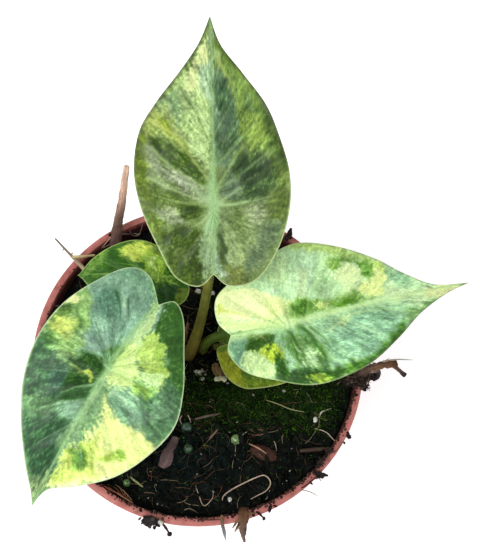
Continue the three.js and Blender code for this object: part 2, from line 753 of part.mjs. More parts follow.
addPiece("rim_clod", lump(RIM_CLOD.at, RIM_CLOD.sizes, RIM_CLOD.turn, 90, 1), RIM_CLOD.colour, 0.95);
Object.entries(CHIPS).forEach(([name, chip], index) => {
  addPiece(name, chipGeometry(chip, CHIP_SEED + index), chip.colour, 0.85);
});

export default plant;
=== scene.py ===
"""The looks of a potted, variegated young alocasia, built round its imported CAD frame."""

import math

import bmesh
import bpy
import numpy as np
from mathutils import Matrix, Vector


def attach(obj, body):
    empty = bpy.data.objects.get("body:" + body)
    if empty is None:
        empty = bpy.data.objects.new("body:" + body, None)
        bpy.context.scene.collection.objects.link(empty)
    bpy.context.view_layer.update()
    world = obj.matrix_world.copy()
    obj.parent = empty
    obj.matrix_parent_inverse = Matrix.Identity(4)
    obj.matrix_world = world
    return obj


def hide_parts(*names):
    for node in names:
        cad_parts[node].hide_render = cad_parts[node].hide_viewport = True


bl_info = {
    "name": "Potted alocasia",
    "version": (1, 0, 0),
    "blender": (4, 5, 0),
    "location": "3D View > Sidebar > Alocasia",
    "description": "Builds the leaves, the pot, the potting mix and the stage round the CAD frame",
    "category": "Object",
}

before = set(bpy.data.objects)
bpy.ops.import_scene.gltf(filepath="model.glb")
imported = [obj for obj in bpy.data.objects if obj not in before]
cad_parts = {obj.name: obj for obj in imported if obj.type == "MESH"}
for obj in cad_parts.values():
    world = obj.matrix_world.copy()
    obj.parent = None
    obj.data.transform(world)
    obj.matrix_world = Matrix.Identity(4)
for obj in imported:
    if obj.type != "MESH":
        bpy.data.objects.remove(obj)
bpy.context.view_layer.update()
MM = 0.001

# Photograph's camera: place in millimetres, the way it looks, its right and its up
CAMERA_PLACE = np.array([-8.304, -94.393, 416.3])
CAMERA_FORWARD = np.array([0.06897, 0.36639, -0.92790])
CAMERA_RIGHT = np.array([0.99753, -0.01311, 0.06897])
CAMERA_UP = np.array([-0.01311, 0.93037, 0.36639])
FOCAL_PIXELS = 900
IMAGE_WIDTH, IMAGE_HEIGHT = 480, 560

# Potting mix, as in the part's source
MIX_LEVEL, MIX_SLOPE, MIX_BUMP = 95.8, 2, 0.9
CROWN = (-2.2, 2)
MIX_RADIUS = 56.75
MIX_BASE = 2.5
MIX_SKIRT = [(56.7, 89.5), (52.2, 86), (40.2, MIX_BASE)]
LOOSE_RADIUS = 56.2

# Pot: outline as (radius, height) pairs, from the middle of the underside round to the middle inside
RIM_RADIUS, POT_HEIGHT = 60, 102
POT_OUTLINE = [
    (0, 1.3), (30, 1.3), (38.2, 0.9), (39.2, 0), (40.6, 0), (41.5, 0.3), (42, 1.2), (42.3, 3), (48, 42.6),
    (54.2, 84.6), (54.6, 85.2), (57.2, 85.9), (58, 86.2), (58.2, 87), (58.5, 93), (58.75, 98.2), (59.2, 99),
    (59.8, 99.3), (60, 99.7), (60, 101.2), (59.85, 101.7), (59.4, POT_HEIGHT), (57.9, POT_HEIGHT),
    (57.45, 101.85), (57.3, 101.4), (57.1, 95), (56.9, 88.2), (56.3, 87), (53, 86), (52.8, 85.2), (46.8, 42),
    (40.7, 2.8), (40.2, 2.1), (39.6, 1.85), (20, 1.85), (0, 1.85),
]
POT_SIDES = 208
OUTLINE_STEP = 2.2
DRAIN_HOLES, DRAIN_RING, DRAIN_RADIUS = 8, 29, 4.5
CRISP_ANGLE = 50

# Blade relief, as in the part's source
REFERENCE_TIP = 60
VEIN_BOW = 0.12
MIDRIB_DEPTH = 1.5
VEIN_STOPS = [0.1, 0.22, 0.34, 0.46, 0.58, 0.69, 0.79, 0.89]
VEIN_STARTS = [-0.03, -0.018, -0.006, 0.015, 0.09, 0.21, 0.37, 0.58]

# A stroke whose red, green and blue add up to less than this is a crease as well: its dark colour is
# painted shade in the crease.
DARK_STROKE = 250
# Rows of points along and across half a blade, for the large blades and for the small ones
BLADE_ROWS, QUICK_BLADE_ROWS = ((210, 60), (120, 38)), ((90, 34), (70, 26))
MARGIN_ROWS = [0.958, 0.972, 0.983, 0.991, 0.997, 1]
UNDER_TINT, UNDER_RIB_TINT, UNDER_VEIN_TINT = (150, 174, 122), (182, 204, 150), (176, 198, 142)
WELD_REACH = 0.00001

ROUGHNESS_SPREAD = 0.12

# Lights: name, place, width, share of the key light's power, colour
LIGHTS = [
    ("High softbox", (-0.55, -0.45, 1), 0.5, 1, (1, 1, 1)),
    ("Left softbox", (-0.9, 0.1, 0.5), 0.4, 0.2, (1, 0.985, 0.96)),
    ("Right softbox", (0.9, -0.3, 0.6), 0.4, 0.2, (0.96, 0.98, 1)),
]
LIGHT_TARGET = (0, 0, 0.12)
FLOOR_HALF = 3
SENSOR_WIDTH = 36

# Leaves. Sizes in millimetres and degrees; notch, tip and margins are (along, across) pairs.
# Each patch of colour is (colour, softness of its edge, strength, outline), and each stroke of colour is
# (colour, width, strength, line). Besides the leaves' own variegation, some patches are painted sheen and
# painted highlights, and some dark patches and strokes are painted shade in hollows and creases. The pits
# value is the strength of the painted shade in the pits of the skin. The pale edge is (place, paleness)
# pairs: the notch is 0, the tip is 9.
LEAVES = {
    "back": dict(
        place=(2, 23.2, 176), heading=91.5, rise=30, roll=0, tip_bend=0.006, lobe_bend=0.004,
        groove=0.1, crown=0.004, puff=0.5, wave=0.5, notch=(-19.9, 0), tip=(57.7, 0.4),
        left=[(-23.6, 4.6), (-20.6, 11.5), (-11.8, 16.4), (-0.5, 21.2), (10.8, 23.3),
              (22.4, 21.7), (31, 16.7), (40.5, 9.4), (49, 3.9)],
        right=[(-23.6, -5), (-21.4, -13.2), (-12.2, -19.5), (-0.7, -22.7), (10.7, -22.6),
               (22.5, -19.2), (31, -15.6), (40, -8.9), (48.6, -2.6)],
        petiole=[(-3.6, 0.4, 86), (-3.6, 1.6, 96), (-0.7, 6.9, 112), (1.9, 14.4, 139), (2.5, 20, 162)],
        thickness=(2, 2.3, 1.8, 1.65, 1.55),
        base=(114, 138, 76), midrib=(146, 186, 122), vein=(160, 190, 128), vein_strength=0.55,
        fleck=(176, 190, 116), fleck_strength=0.34, margin_line=(205, 220, 165),
        pits=0.5, pale_edge=((0, 1), (3.4, 0.9), (5, 0.2), (9, 0)),
        patches=[
            ((116, 136, 86), 2, 0.9, [(-1, 0), (1, -6), (2.5, -14), (-1, -22), (-9.5, -20.5), (-17, -14.5),
                (-23.5, -8), (-23, -2.5), (-18.5, 0.5)]),
            ((170, 198, 126), 1.3, 1, [(42, 4.5), (40, 8), (37, 11), (33, 13), (25, 10), (17, 7), (12.5, 2.5),
                (11, 0.5), (29, 0), (35, 2)]),
            ((202, 216, 146), 0.8, 0.95, [(50.5, 2), (47, 1), (41, 1.5), (41, 4), (35, 5), (33, 7), (35, 9),
                (41, 6.5), (46, 4)]),
            ((136, 160, 116), 0.5, 1, [(58, 1), (49, -1), (44, -2), (43, 0), (50, 1.5)]),
            ((160, 190, 150), 0.8, 1, [(43, 2), (44, 0), (35, -0.5), (30.5, -1), (29, 0.5), (32, 2), (35, 4),
                (40, 4)]),
            ((126, 158, 104), 1, 0.95, [(31.5, 16.5), (34.5, 12.5), (33.5, 10), (27.5, 9), (24.5, 10),
                (28, 12.5), (30, 15.5)]),
            ((146, 164, 80), 1.2, 0.9, [(23.5, 21), (29, 18), (30, 14), (26, 12), (23.5, 10), (19.5, 7.5),
                (16.5, 6.5), (18, 10), (21, 13), (23, 16), (20.5, 18.5), (16.5, 21)]),
            ((112, 132, 26), 0.8, 0.85, [(27, 15.5), (26, 14), (22.5, 11.5), (22, 13), (24, 15)]),
            # Painted sheen: a grey-silver reflection across the middle of the blade
            ((130, 146, 106), 1, 1, [(19, 20), (16, 15.5), (13, 12), (9.5, 7), (5.5, 2), (3, 0.5), (3, 4),
                (6, 10), (9, 14), (10, 18), (13.5, 20)]),
            # Painted highlight: lilac-grey, inside the grey-silver sheen
            ((160, 172, 140), 1.2, 0.9, [(12, 13), (10, 9), (6.5, 5), (6, 8), (8.5, 12)]),
            ((60, 88, 14), 0.7, 1, [(21, 19), (20, 15), (17, 11), (15, 7.5), (11, 4), (7, 2), (8, 5), (11, 9),
                (13, 13), (16.5, 16.5)]),
            ((96, 118, 24), 1, 0.95, [(16.5, 24), (23, 22), (20, 20), (13, 20), (7, 19), (2, 18), (0, 19),
                (4, 22), (9.5, 24)]),
            ((84, 108, 40), 1.1, 0.95, [(8.5, 19), (5.5, 14), (3, 9), (1, 4.5), (-1, 2), (-4, 5), (-4.5, 7.5),
                (-1, 11), (1, 15), (2.5, 19)]),
            ((58, 82, 20), 0.8, 0.9, [(3, 10), (1, 5), (-3, 5), (-2.5, 9)]),
            ((144, 158, 122), 1.3, 0.85, [(1, 16), (0.5, 12), (-2, 9), (-6, 7), (-6, 10.5), (-4, 14.5),
                (-1.5, 16.5)]),
            ((92, 116, 30), 1, 0.9, [(1, 20.5), (-1.5, 17), (-7, 14.5), (-10.5, 16), (-5, 19)]),
            ((62, 86, 16), 1, 1, [(-8, 16), (-6, 13), (-5.5, 8), (-6, 3), (-12, 3), (-23, 3), (-25, 7),
                (-22.5, 11), (-16.5, 14)]),
            ((112, 134, 74), 1.2, 0.7, [(-11, 13), (-12, 9), (-16, 8), (-16, 12)]),
            ((138, 166, 120), 1.3, 0.9, [(-8, 3.5), (-4, 2), (-1, 0.5), (-11, -0.5), (-18.5, 1), (-23, 3),
                (-16, 4)]),
            ((150, 174, 146), 1, 0.9, [(-12.5, 1), (-13, -1), (-20, -4.5), (-21, -1), (-17, 1)]),
            ((60, 88, 30), 0.7, 1, [(-4.5, -1), (-7, -2), (-12.5, -4), (-17.5, -4.5), (-15, -2), (-11, -1)]),
            ((150, 172, 112), 1, 0.95, [(-4, -1.5), (-4, -4), (-8, -7), (-15.5, -8.5), (-20, -7.5), (-16, -5),
                (-9.5, -3)]),
            ((64, 90, 46), 1.5, 1, [(9, -2), (13, -4), (15.5, -8), (17, -12.5), (15.5, -17), (11, -19.5),
                (5.5, -17.5), (2, -14), (2.5, -9), (2, -4), (5, -2)]),
            ((96, 120, 86), 1.6, 0.9, [(8, -2), (11, -5.5), (8, -9), (3, -9), (2, -4), (4.5, -2)]),
            ((48, 74, 38), 1.2, 0.9, [(13, -7), (14, -11.5), (8, -13), (4, -10), (8, -8)]),
            ((88, 110, 44), 1.4, 0.9, [(16, -17), (12.5, -21), (2.5, -23), (-5, -21.5), (-4, -17), (2.5, -17),
                (7, -19)]),
            ((138, 154, 112), 1.2, 0.9, [(1, -9), (1, -13), (-2, -16.5), (-5, -14), (-4, -10)]),
            ((94, 116, 58), 1.2, 0.8, [(1, -6), (0.5, -9), (-8, -10), (-10, -7), (-4, -4.5)]),
            ((112, 124, 48), 1.2, 0.8, [(-18, -4.5), (-17, -8.5), (-21, -11.5), (-25, -8.5), (-24, -4)]),
            ((94, 116, 82), 1.2, 0.9, [(-5, -14), (-3.5, -21), (-10, -19), (-16, -14.5), (-21.5, -10),
                (-16, -10), (-11, -12.5)]),
            ((120, 152, 66), 1.6, 1, [(48, -1), (45, -4), (41, -8), (35, -13.5), (29, -16), (20, -19),
                (16.5, -18), (17, -13), (20, -9), (26.5, -7), (33, -6), (39, -4.5), (43, -2)]),
            ((98, 130, 78), 1, 0.8, [(34.5, -9), (32.5, -11.5), (28, -13), (29, -10)]),
            ((146, 174, 76), 1.4, 0.8, [(28, -10), (26.5, -14.5), (20, -16.5), (18, -11.5), (22, -8.5)]),
            ((66, 90, 34), 1.2, 0.95, [(30.5, -14.5), (26.5, -17.5), (18.5, -21), (11, -24), (9.5, -21.5),
                (17.5, -18), (25, -14.5)]),
            ((88, 120, 84), 0.8, 1, [(40, 0.5), (41, -2), (38, -4), (33, -6), (27, -7), (21.5, -8), (17, -7),
                (12.5, -4), (12.5, -1), (17, 0), (29, 0)]),
            ((64, 98, 60), 0.9, 0.85, [(38, -1), (36.5, -4), (29.5, -5), (28, -2), (32.5, -1)]),
            ((60, 90, 50), 1, 0.9, [(23, -1), (22, -7), (16.5, -6), (13.5, -4), (15, -1.5)]),
            ((146, 178, 132), 0.7, 0.7, [(30, 0), (28, -2), (25, -1), (25, 0)]),
        ],
        strokes=[
            ((156, 212, 148), 1.5, 0.75, [(-5, 0), (3, 0), (8, 0)]),
            ((178, 216, 158), 2, 0.75, [(-4, 1.5), (0, 0), (5, 0)]),
            ((168, 204, 146), 2.3, 0.8, [(2, 0.4), (7, 0.9), (13, 0.4)]),
            ((166, 198, 140), 1.1, 0.8, [(1, 0), (4, 4), (8, 8)]),
            ((166, 198, 140), 0.9, 0.8, [(0, 0), (3.5, -4), (6, -8)]),
            ((170, 204, 146), 1, 0.7, [(-1, 0), (-6, 2), (-12, 3)]),
            ((64, 86, 34), 1.6, 0.8, [(47, -4.5), (38, -12), (28, -17), (14, -21.5)]),
            ((190, 204, 108), 0.6, 0.8, [(26, 18.5), (22, 12), (17, 8), (9, 2)]),
            ((168, 190, 140), 0.6, 0.8, [(9, 19), (5, 11), (2, 2)]),
            ((168, 190, 130), 0.5, 0.8, [(0, 0), (-4, 3.5), (-5.5, 6.5)]),
            ((150, 180, 104), 0.7, 0.8, [(5, -0.5), (11, -4), (18, -8.5)]),
            ((172, 202, 142), 0.6, 0.9, [(1, -1), (1, -5.5), (2.5, -11)]),
            ((168, 188, 100), 0.6, 0.7, [(45, -1), (37, -5.5), (29, -8)]),
            ((90, 118, 36), 1.2, 0.8, [(49, -1.5), (43, -6), (36.5, -12)]),
            ((148, 168, 116), 0.5, 0.7, [(18, 18), (12.5, 13), (6.5, 5)]),
            ((84, 112, 70), 0.4, 0.7, [(35, 9.5), (28, 5), (20, 1.5)]),
        ],
    ),
    "right": dict(
        place=(26.2, -4.1, 150), heading=16, rise=3, roll=4, tip_bend=0.007, lobe_bend=0.008,
        groove=0.16, crown=0.006, puff=0.9, wave=0.8, notch=(-18, 1.9), tip=(69.3, 0.4),
        left=[(-20.8, 7.4), (-18.6, 15.2), (-9, 20), (1, 23.2), (11.5, 25), (24.4, 20.8),
              (35, 14.3), (43, 7.4), (54, 1.7)],
        right=[(-20.3, -3.4), (-16.7, -10.9), (-8.4, -16), (1, -20.3), (10, -21), (22, -18.7),
               (33.9, -13.1), (45, -6.7), (58, -2)],
        petiole=[(0.7, 3.1, 86), (0.9, 3.6, 96), (3, 4.2, 106.5), (9.8, 3, 118.8), (19, -0.6, 136)],
        thickness=(1.8, 2, 1.7, 1.6, 1.5),
        base=(184, 226, 164), midrib=(206, 238, 166), vein=(190, 226, 158), vein_strength=0.4,
        fleck=(214, 238, 160), fleck_strength=0.35, margin_line=(205, 226, 160),
        pits=0.35, pale_edge=((0, 1), (4, 0.8), (6, 0.35), (9, 0.3)),
        patches=[
            ((180, 220, 168), 1.8, 1, [(-6, 14.5), (0, 20), (4.5, 24), (9, 24), (15, 21), (16, 17), (14, 9),
                (10.5, 5), (5, 7), (-0.5, 9)]),
            ((196, 224, 164), 1.2, 0.8, [(7, 16), (11.5, 15), (10, 10), (7, 6), (5, 7.5)]),
            ((190, 224, 158), 1.5, 0.8, [(-2, 20), (3, 23), (7, 21), (4, 13.5), (0, 12), (-3, 15)]),
            ((168, 200, 104), 1.2, 0.9, [(4, 24.5), (12.5, 26), (22, 23), (30, 18), (35.5, 13), (38.5, 8.5),
                (33, 10), (27, 16), (18, 20), (10, 23)]),
            ((168, 210, 146), 1.6, 0.8, [(16, 19), (20, 16), (18.5, 9), (13, 6), (11.5, 8)]),
            ((112, 156, 58), 1, 0.95, [(19, 17.5), (25, 17.5), (29, 16), (27, 14), (23, 15), (20.5, 13),
                (18.5, 14.5)]),
            ((86, 140, 44), 0.9, 0.95, [(28, 14), (32, 14), (34.5, 11), (33, 8.5), (30, 7), (28, 10)]),
            ((216, 238, 166), 1.2, 0.95, [(19.5, 12.5), (24, 14.5), (28, 12.5), (28, 9), (25.5, 7), (22, 7),
                (19, 10)]),
            ((200, 230, 160), 1.2, 0.8, [(22, 8), (26, 7), (26, 3), (22, 3), (19, 4.5)]),
            ((222, 240, 146), 0.9, 1, [(33.5, 11.5), (36, 10), (37, 7), (35, 3), (31, 1), (26, 3), (25, 6),
                (28, 7), (31, 7), (33, 9)]),
            ((186, 214, 92), 0.8, 0.7, [(34, 14), (37.5, 10), (39, 7), (36, 9), (34.5, 12)]),
            ((226, 238, 170), 0.8, 1, [(-21.5, 11), (-20, 14), (-16.5, 16), (-13, 17), (-9, 15), (-4, 12),
                (0, 9), (3, 7), (2, 1.5), (-7, 3.5), (-14, 6), (-19, 7)]),
            ((218, 236, 150), 0.8, 0.8, [(-4, 11), (-0.5, 9), (3, 6.5), (2, 2), (-5.5, 3)]),
            ((190, 208, 90), 0.7, 0.8, [(-20, 12), (-18, 12), (-17.5, 9.5), (-20, 9.5)]),
            ((214, 240, 158), 0.8, 1, [(-21.5, 8), (-18, 8), (-11, 4), (2, 1.5), (5.5, 2), (4, 0), (-2.5, 0),
                (-12, 1.5), (-18, 2), (-20, 5.5)]),
            ((116, 164, 66), 1.2, 0.9, [(2, 6), (5, 7), (10, 6), (14, 4), (19, 5), (23.5, 5), (28, 2),
                (32, 1), (25.5, 0.5), (18, 1), (12, 0.5), (4, 0.5), (1, 2)]),
            ((64, 116, 18), 0.7, 0.9, [(3, 5), (7, 6), (11, 4), (8, 2), (3, 1.5)]),
            ((82, 136, 26), 0.6, 0.9, [(16, 2.5), (21.5, 3.5), (27, 1.5), (22, 1), (17, 1)]),
            ((204, 226, 132), 0.6, 0.8, [(10, 4), (15, 3), (15, 1), (11, 2)]),
            ((140, 188, 140), 1, 1, [(37.5, 9), (42, 8.5), (46, 4), (42, 3), (38, 5.5)]),
            ((192, 222, 162), 0.9, 0.9, [(35, 5), (41, 3), (50, 0), (55, -2.5), (46, -3), (37, -1), (33, 1)]),
            ((216, 230, 158), 0.7, 1, [(49, 1), (56, 1.5), (63, 1), (70, 1), (69, -1), (60.5, -2), (52, -3.5),
                (48, -3)]),
            ((146, 142, 112), 0.5, 1, [(66, 2), (71, 2), (70, 0), (65, 0)]),
            ((150, 198, 146), 0.9, 1, [(-19, 1), (-12, 1), (-2.5, -0.5), (4, 0), (14, 0), (24.5, 0),
                (38, -2), (54, -3), (36, -11), (24.5, -19), (10, -22), (-2.5, -20), (-13.5, -15), (-19, -8),
                (-21, -2)]),
            ((104, 152, 116), 1, 1, [(-20, 1.5), (-15.5, 2), (-12.5, 0.5), (-14, -2.5), (-14, -6),
                (-17, -9.5), (-19, -7)]),
            ((66, 106, 86), 0.7, 0.9, [(-16.5, -4), (-15, -5), (-16, -8), (-16.5, -7)]),
            ((54, 98, 20), 0.7, 1, [(-13, 0), (-8, 0), (-5, -4), (-5, -6), (-10, -6), (-14, -5), (-14, -2)]),
            ((184, 212, 56), 0.7, 1, [(-10, -5), (-5, -5), (-4, -7), (-5, -10), (-8, -10.5), (-11, -8),
                (-12, -5)]),
            ((190, 220, 146), 1, 0.95, [(-15.5, -5), (-11, -5.5), (-9, -9), (-7, -11), (-7.5, -15), (-9, -16),
                (-14, -13), (-16.5, -10), (-17, -7.5)]),
            ((46, 94, 20), 0.8, 1, [(-6, -7.5), (-4.5, -11), (-3.5, -14), (0, -14), (3, -16), (7, -16),
                (9, -18.5), (8, -21), (-1, -21), (-7, -18), (-8, -15)]),
            ((92, 144, 62), 1.2, 0.9, [(-2, -3), (3, -3), (8, -8), (9.5, -13.5), (7, -17), (3, -15), (0, -13),
                (-2.5, -8.5)]),
            ((176, 214, 152), 1, 0.9, [(1.5, -8), (5, -10), (6, -14), (4, -15.5), (1, -13.5)]),
            ((142, 194, 150), 1.4, 1, [(11, -6.5), (19, -3.5), (27, -2.5), (35.5, -5), (37, -9), (31.5, -14),
                (25.5, -16), (18, -16.5), (11.5, -15.5), (10, -11.5)]),
            ((190, 220, 150), 0.9, 0.7, [(17, -2), (21, -1.5), (19, -5), (16, -6.5)]),
            ((64, 116, 30), 1.3, 1, [(8, -17.5), (15, -17.5), (23, -16), (30, -13), (37, -8), (39, -11),
                (31, -16), (22, -20), (13.5, -21.5), (7, -22)]),
            ((168, 204, 64), 0.6, 0.9, [(1, -18), (5, -18), (8, -19.5), (7, -21), (1.5, -20)]),
            ((122, 168, 92), 0.8, 0.8, [(38.5, -5.5), (45, -4), (54, -3), (47, -6.5), (39.5, -10)]),
            ((188, 216, 152), 0.8, 0.7, [(38, -1), (46, -3), (52.5, -3), (44, -4.5)]),
        ],
        strokes=[
            ((54, 108, 32), 0.9, 0.95, [(3, -1), (6, -5), (7, -9.5), (8, -14), (8, -19)]),
            ((60, 112, 40), 0.7, 0.9, [(-0.5, -2), (1.5, -5), (3, -9)]),
            ((70, 122, 54), 0.6, 0.8, [(7, -3), (10, -7), (11, -12)]),
            ((200, 228, 170), 0.5, 0.7, [(5.5, -2), (8.5, -8.5), (9, -14.5)]),
            ((56, 104, 44), 0.4, 0.9, [(32, -3), (34.5, -6)]),
            ((70, 118, 60), 0.35, 0.8, [(30, -1.5), (33, -3)]),
            ((66, 118, 60), 0.35, 0.7, [(11.5, -8), (14, -10)]),
            ((206, 222, 96), 0.5, 0.7, [(-20, 10.5), (-14.5, 8), (-10, 5)]),
            ((212, 232, 160), 0.4, 0.6, [(12, -5.5), (21, -2), (31, -2.5), (36, -4)]),
            ((96, 150, 50), 0.35, 0.8, [(-17.5, 2), (-12, 1.5), (-2.5, 0)]),
            ((150, 128, 90), 0.3, 0.9, [(-9, -1), (-7.5, -4)]),
            ((96, 84, 50), 0.35, 0.8, [(51, 1.5), (54, 0)]),
        ],
    ),
    "front": dict(
        place=(-28.8, -18.2, 150), heading=-121, rise=-8, roll=0, tip_bend=0.014, lobe_bend=0.012,
        groove=0.28, crown=0.009, puff=0.8, wave=0.9, notch=(-24.9, 2.1), tip=(52.6, -1),
        left=[(-28.3, 6), (-24.6, 11.4), (-15, 17.6), (-4.5, 23.8), (5.5, 26.8), (16.5, 24.2),
              (26.5, 19), (35, 10.6), (43.4, 1.6)],
        right=[(-31.6, -5.2), (-30.4, -12.6), (-21, -18.7), (-9.3, -22.9), (3.5, -23.5), (16, -20.7),
               (27, -15.6), (36.5, -9.5), (46, -3.6)],
        petiole=[(-7.4, -1.5, 86), (-8.3, -2.2, 96), (-12.5, -4.8, 112), (-19.5, -9.6, 128),
                 (-25.8, -15, 142)],
        thickness=(1.8, 2.1, 1.8, 1.7, 1.6),
        base=(105, 152, 102), midrib=(160, 204, 136), vein=(158, 200, 146), vein_strength=0.35,
        fleck=(170, 206, 134), fleck_strength=0.3, margin_line=(200, 218, 172),
        pits=0.3,
        patches=[
            ((118, 160, 104), 1.5, 1, [(9.5, -1.5), (6, 0), (4, 1), (9, 4), (17, 8), (21, 5.5), (21.5, 2),
                (26, 1), (31.5, 1), (28, -1.5), (22, -3), (18, -1.5)]),
            ((54, 96, 58), 1.4, 1, [(18, -20), (11, -23), (3, -24), (3, -18), (5, -14), (5, -10), (12.5, -9),
                (16, -8.5), (20, -12.5), (22.5, -16)]),
            ((50, 92, 56), 1.2, 1, [(24.5, -16), (23, -10), (19, -7), (19, -3), (23.5, -2.5), (29.5, -1),
                (34, 0.5), (39, -0.5), (43.5, -2), (38, -7), (32, -12)]),
            ((58, 98, 76), 1.3, 0.9, [(10.5, -15), (7, -12), (7.5, -8), (12, -7), (14.5, -11)]),
            ((92, 132, 84), 1.4, 0.9, [(21, -18), (17.5, -11.5), (17.5, -8), (20, -7), (23, -10),
                (24.5, -16)]),
            ((136, 176, 100), 1.3, 1, [(0.5, -24), (-7, -24), (-17, -22), (-21, -20), (-15, -15), (-10, -12),
                (-5, -10.5), (0.5, -9), (5, -11), (5, -14), (3, -19)]),
            ((222, 232, 156), 0.6, 1, [(-10, -24), (-15, -22), (-12.5, -19), (-9.5, -20), (-9, -23)]),
            ((70, 112, 48), 0.7, 0.95, [(-3, -23), (-8.5, -23), (-10, -20), (-7.5, -19), (-4, -21)]),
            ((196, 212, 96), 1.8, 0.9, [(-1.5, -23), (-6, -21.5), (-7, -18), (-5, -15), (-2, -16), (0, -20)]),
            ((84, 128, 58), 0.8, 0.7, [(-12, -20), (-13, -19), (-5, -12.5), (-3, -13.5)]),
            ((66, 112, 46), 0.8, 0.7, [(3, -23.5), (0.5, -21.5), (2, -17.5), (4, -18.5)]),
            # Painted sheen: a blue-green reflection over the upper lobe
            ((126, 166, 138), 0.9, 1, [(-18, -20), (-25, -19.5), (-29.5, -16), (-32, -11), (-30.5, -5),
                (-25, 1), (-19.5, 2), (-12, 3), (-6, 1), (-3.5, -2.5), (1, -10), (-5, -10.5), (-10, -12),
                (-14, -16)]),
            ((92, 136, 110), 1.2, 0.9, [(-15.5, -15.5), (-20, -15), (-22.5, -12), (-19.5, -8), (-14.5, -6.5),
                (-11, -8), (-11.5, -12)]),
            # Painted highlight streak on the upper lobe
            ((150, 198, 166), 1.3, 0.8, [(-7, -1), (-11.5, -3), (-17, -2), (-17, 1), (-11, 1)]),
            ((108, 150, 120), 1, 0.7, [(-24, -17.5), (-29, -15), (-31.5, -9), (-28, -4.5), (-27, -7),
                (-26.5, -13.5)]),
            # Painted shade in the dark hollow near where the stalk joins the blade
            ((34, 76, 16), 0.8, 1, [(4, -12), (2, -9), (-1, -5), (-0.5, -2), (1.5, -0.5), (5, -1.5), (9, -3),
                (12.5, -6.5), (13, -9), (9, -9.5), (6, -9)]),
            ((178, 190, 64), 0.5, 0.9, [(6, -8.5), (5, -7), (4.5, -3), (5.5, -3), (6, -6)]),
            ((44, 92, 34), 0.8, 1, [(16, -9), (13, -7), (10, -4), (7, -1), (10.5, -1), (14, -3), (16, -6)]),
            ((132, 176, 140), 1.2, 0.95, [(18, -7.5), (15, -5), (13, -0.5), (16, -0.5), (19, -1), (19, -3)]),
            ((220, 233, 140), 1.4, 1, [(8, 3), (7, 4), (10, 8), (12, 12), (11.5, 15), (10.5, 18), (12, 21),
                (12, 24), (10, 26), (7, 27), (4, 29), (12, 28), (18, 26), (24, 22), (31, 16), (40, 5.5),
                (44, -1), (38, 0), (34, 1.5), (30, 1), (27, 1.5), (24.5, 4), (22, 5), (20, 4.5), (17, 7),
                (13, 6)]),
            ((186, 212, 92), 1, 0.9, [(41, 1), (37.5, 0), (34, 2), (28, 1.5), (23, 5.5), (18.5, 8), (23, 11),
                (28, 13), (32, 10.5), (37, 5.5)]),
            ((92, 142, 40), 0.8, 0.95, [(28, 2), (25, 4), (25.5, 8), (28, 9.5), (31, 8.5), (31, 6)]),
            ((58, 108, 52), 0.6, 0.9, [(27.5, 5), (27, 6), (29, 8), (29, 7)]),
            ((146, 180, 52), 0.8, 0.9, [(25, 12), (22, 13), (19.5, 16), (19, 17.5), (21, 19), (24, 16)]),
            ((100, 140, 30), 0.5, 0.9, [(20, 16), (19, 17), (21, 19), (22, 18)]),
            ((240, 242, 188), 0.7, 0.9, [(39.5, 5), (30.5, 15.5), (23, 22), (17, 25), (11, 27), (4.5, 29),
                (5, 29), (20, 27), (31, 19), (41.5, 6)]),
            ((126, 172, 134), 1.6, 0.9, [(7, 3.5), (2.5, 4), (2, 8), (3, 14), (6, 16.5), (9, 19.5), (11, 18),
                (11.5, 14), (10.5, 10), (9, 6)]),
            ((78, 122, 78), 1, 1, [(3, 13.5), (1, 16), (-3, 16.5), (-7, 15.5), (-6, 18), (-4.5, 23), (1, 27),
                (8, 27.5), (13, 25), (12, 21), (9, 18)]),
            ((132, 174, 132), 0.9, 0.7, [(4, 16), (1, 19), (2, 24), (6, 23.5), (7, 19)]),
            ((60, 106, 38), 0.7, 1, [(-13, 7), (-16, 4), (-22.5, 4), (-27, 4), (-29, 7), (-26, 11.5),
                (-16, 18), (-3, 26), (-3, 23), (-5.5, 18), (-8.5, 15), (-13, 13), (-14, 9.5)]),
            ((138, 172, 150), 0.6, 0.9, [(-24, 2), (-27, 4), (-22.5, 5), (-16.5, 6), (-15, 5), (-20, 3)]),
            ((206, 232, 142), 1.3, 1, [(4, 0.5), (-2, 0), (-6, 0.5), (-10.5, 1.5), (-14, 3), (-11, 6.5),
                (-8, 5.5), (-4.5, 7), (-2, 11), (0, 9), (2.5, 11), (3, 6), (6, 4)]),
            ((178, 210, 100), 0.5, 1, [(-8, 5), (-16, 5.5), (-16.5, 8), (-14, 9.5), (-14.5, 12.5),
                (-9.5, 13.5), (-7.5, 16.5), (-3, 18), (-2.5, 12), (-4, 8)]),
            ((150, 190, 74), 0.5, 0.8, [(-13, 8), (-14, 12), (-10, 13), (-8, 16), (-6, 15), (-9, 11)]),
            ((140, 184, 78), 0.9, 0.9, [(0, 8), (-1, 12.5), (-2, 17), (2, 16), (3, 14), (2.5, 11)]),
            ((184, 218, 140), 0.6, 0.9, [(-3, 9.5), (-4, 13), (-6, 15), (-4, 17.5), (-1.5, 17), (-1, 13)]),
            ((190, 220, 150), 0.7, 0.95, [(-8.5, 1.5), (-16, 1), (-22, 1), (-27, 1), (-25, 3), (-19, 4),
                (-14, 5), (-10, 4.5)]),
            ((86, 136, 56), 0.7, 0.8, [(-3, -5), (-5.5, -2.5), (-8, 1), (-6, 1), (-3, -2)]),
            ((118, 140, 92), 1, 0.9, [(43, -4.5), (39, 0), (45, 0), (53, -1)]),
        ],
        strokes=[
            # Painted shade in the crease across the upper lobe, and its second branch
            ((44, 92, 52), 0.6, 0.95, [(-21, -11), (-18, -7.5), (-14, -5)]),
            ((52, 100, 60), 0.4, 0.8, [(-21, -6.5), (-16, -3)]),
            ((196, 226, 176), 0.5, 0.6, [(-21, -8), (-15, -3.5)]),
            ((196, 220, 120), 0.5, 0.7, [(5, -10), (5, -7), (5, -3)]),
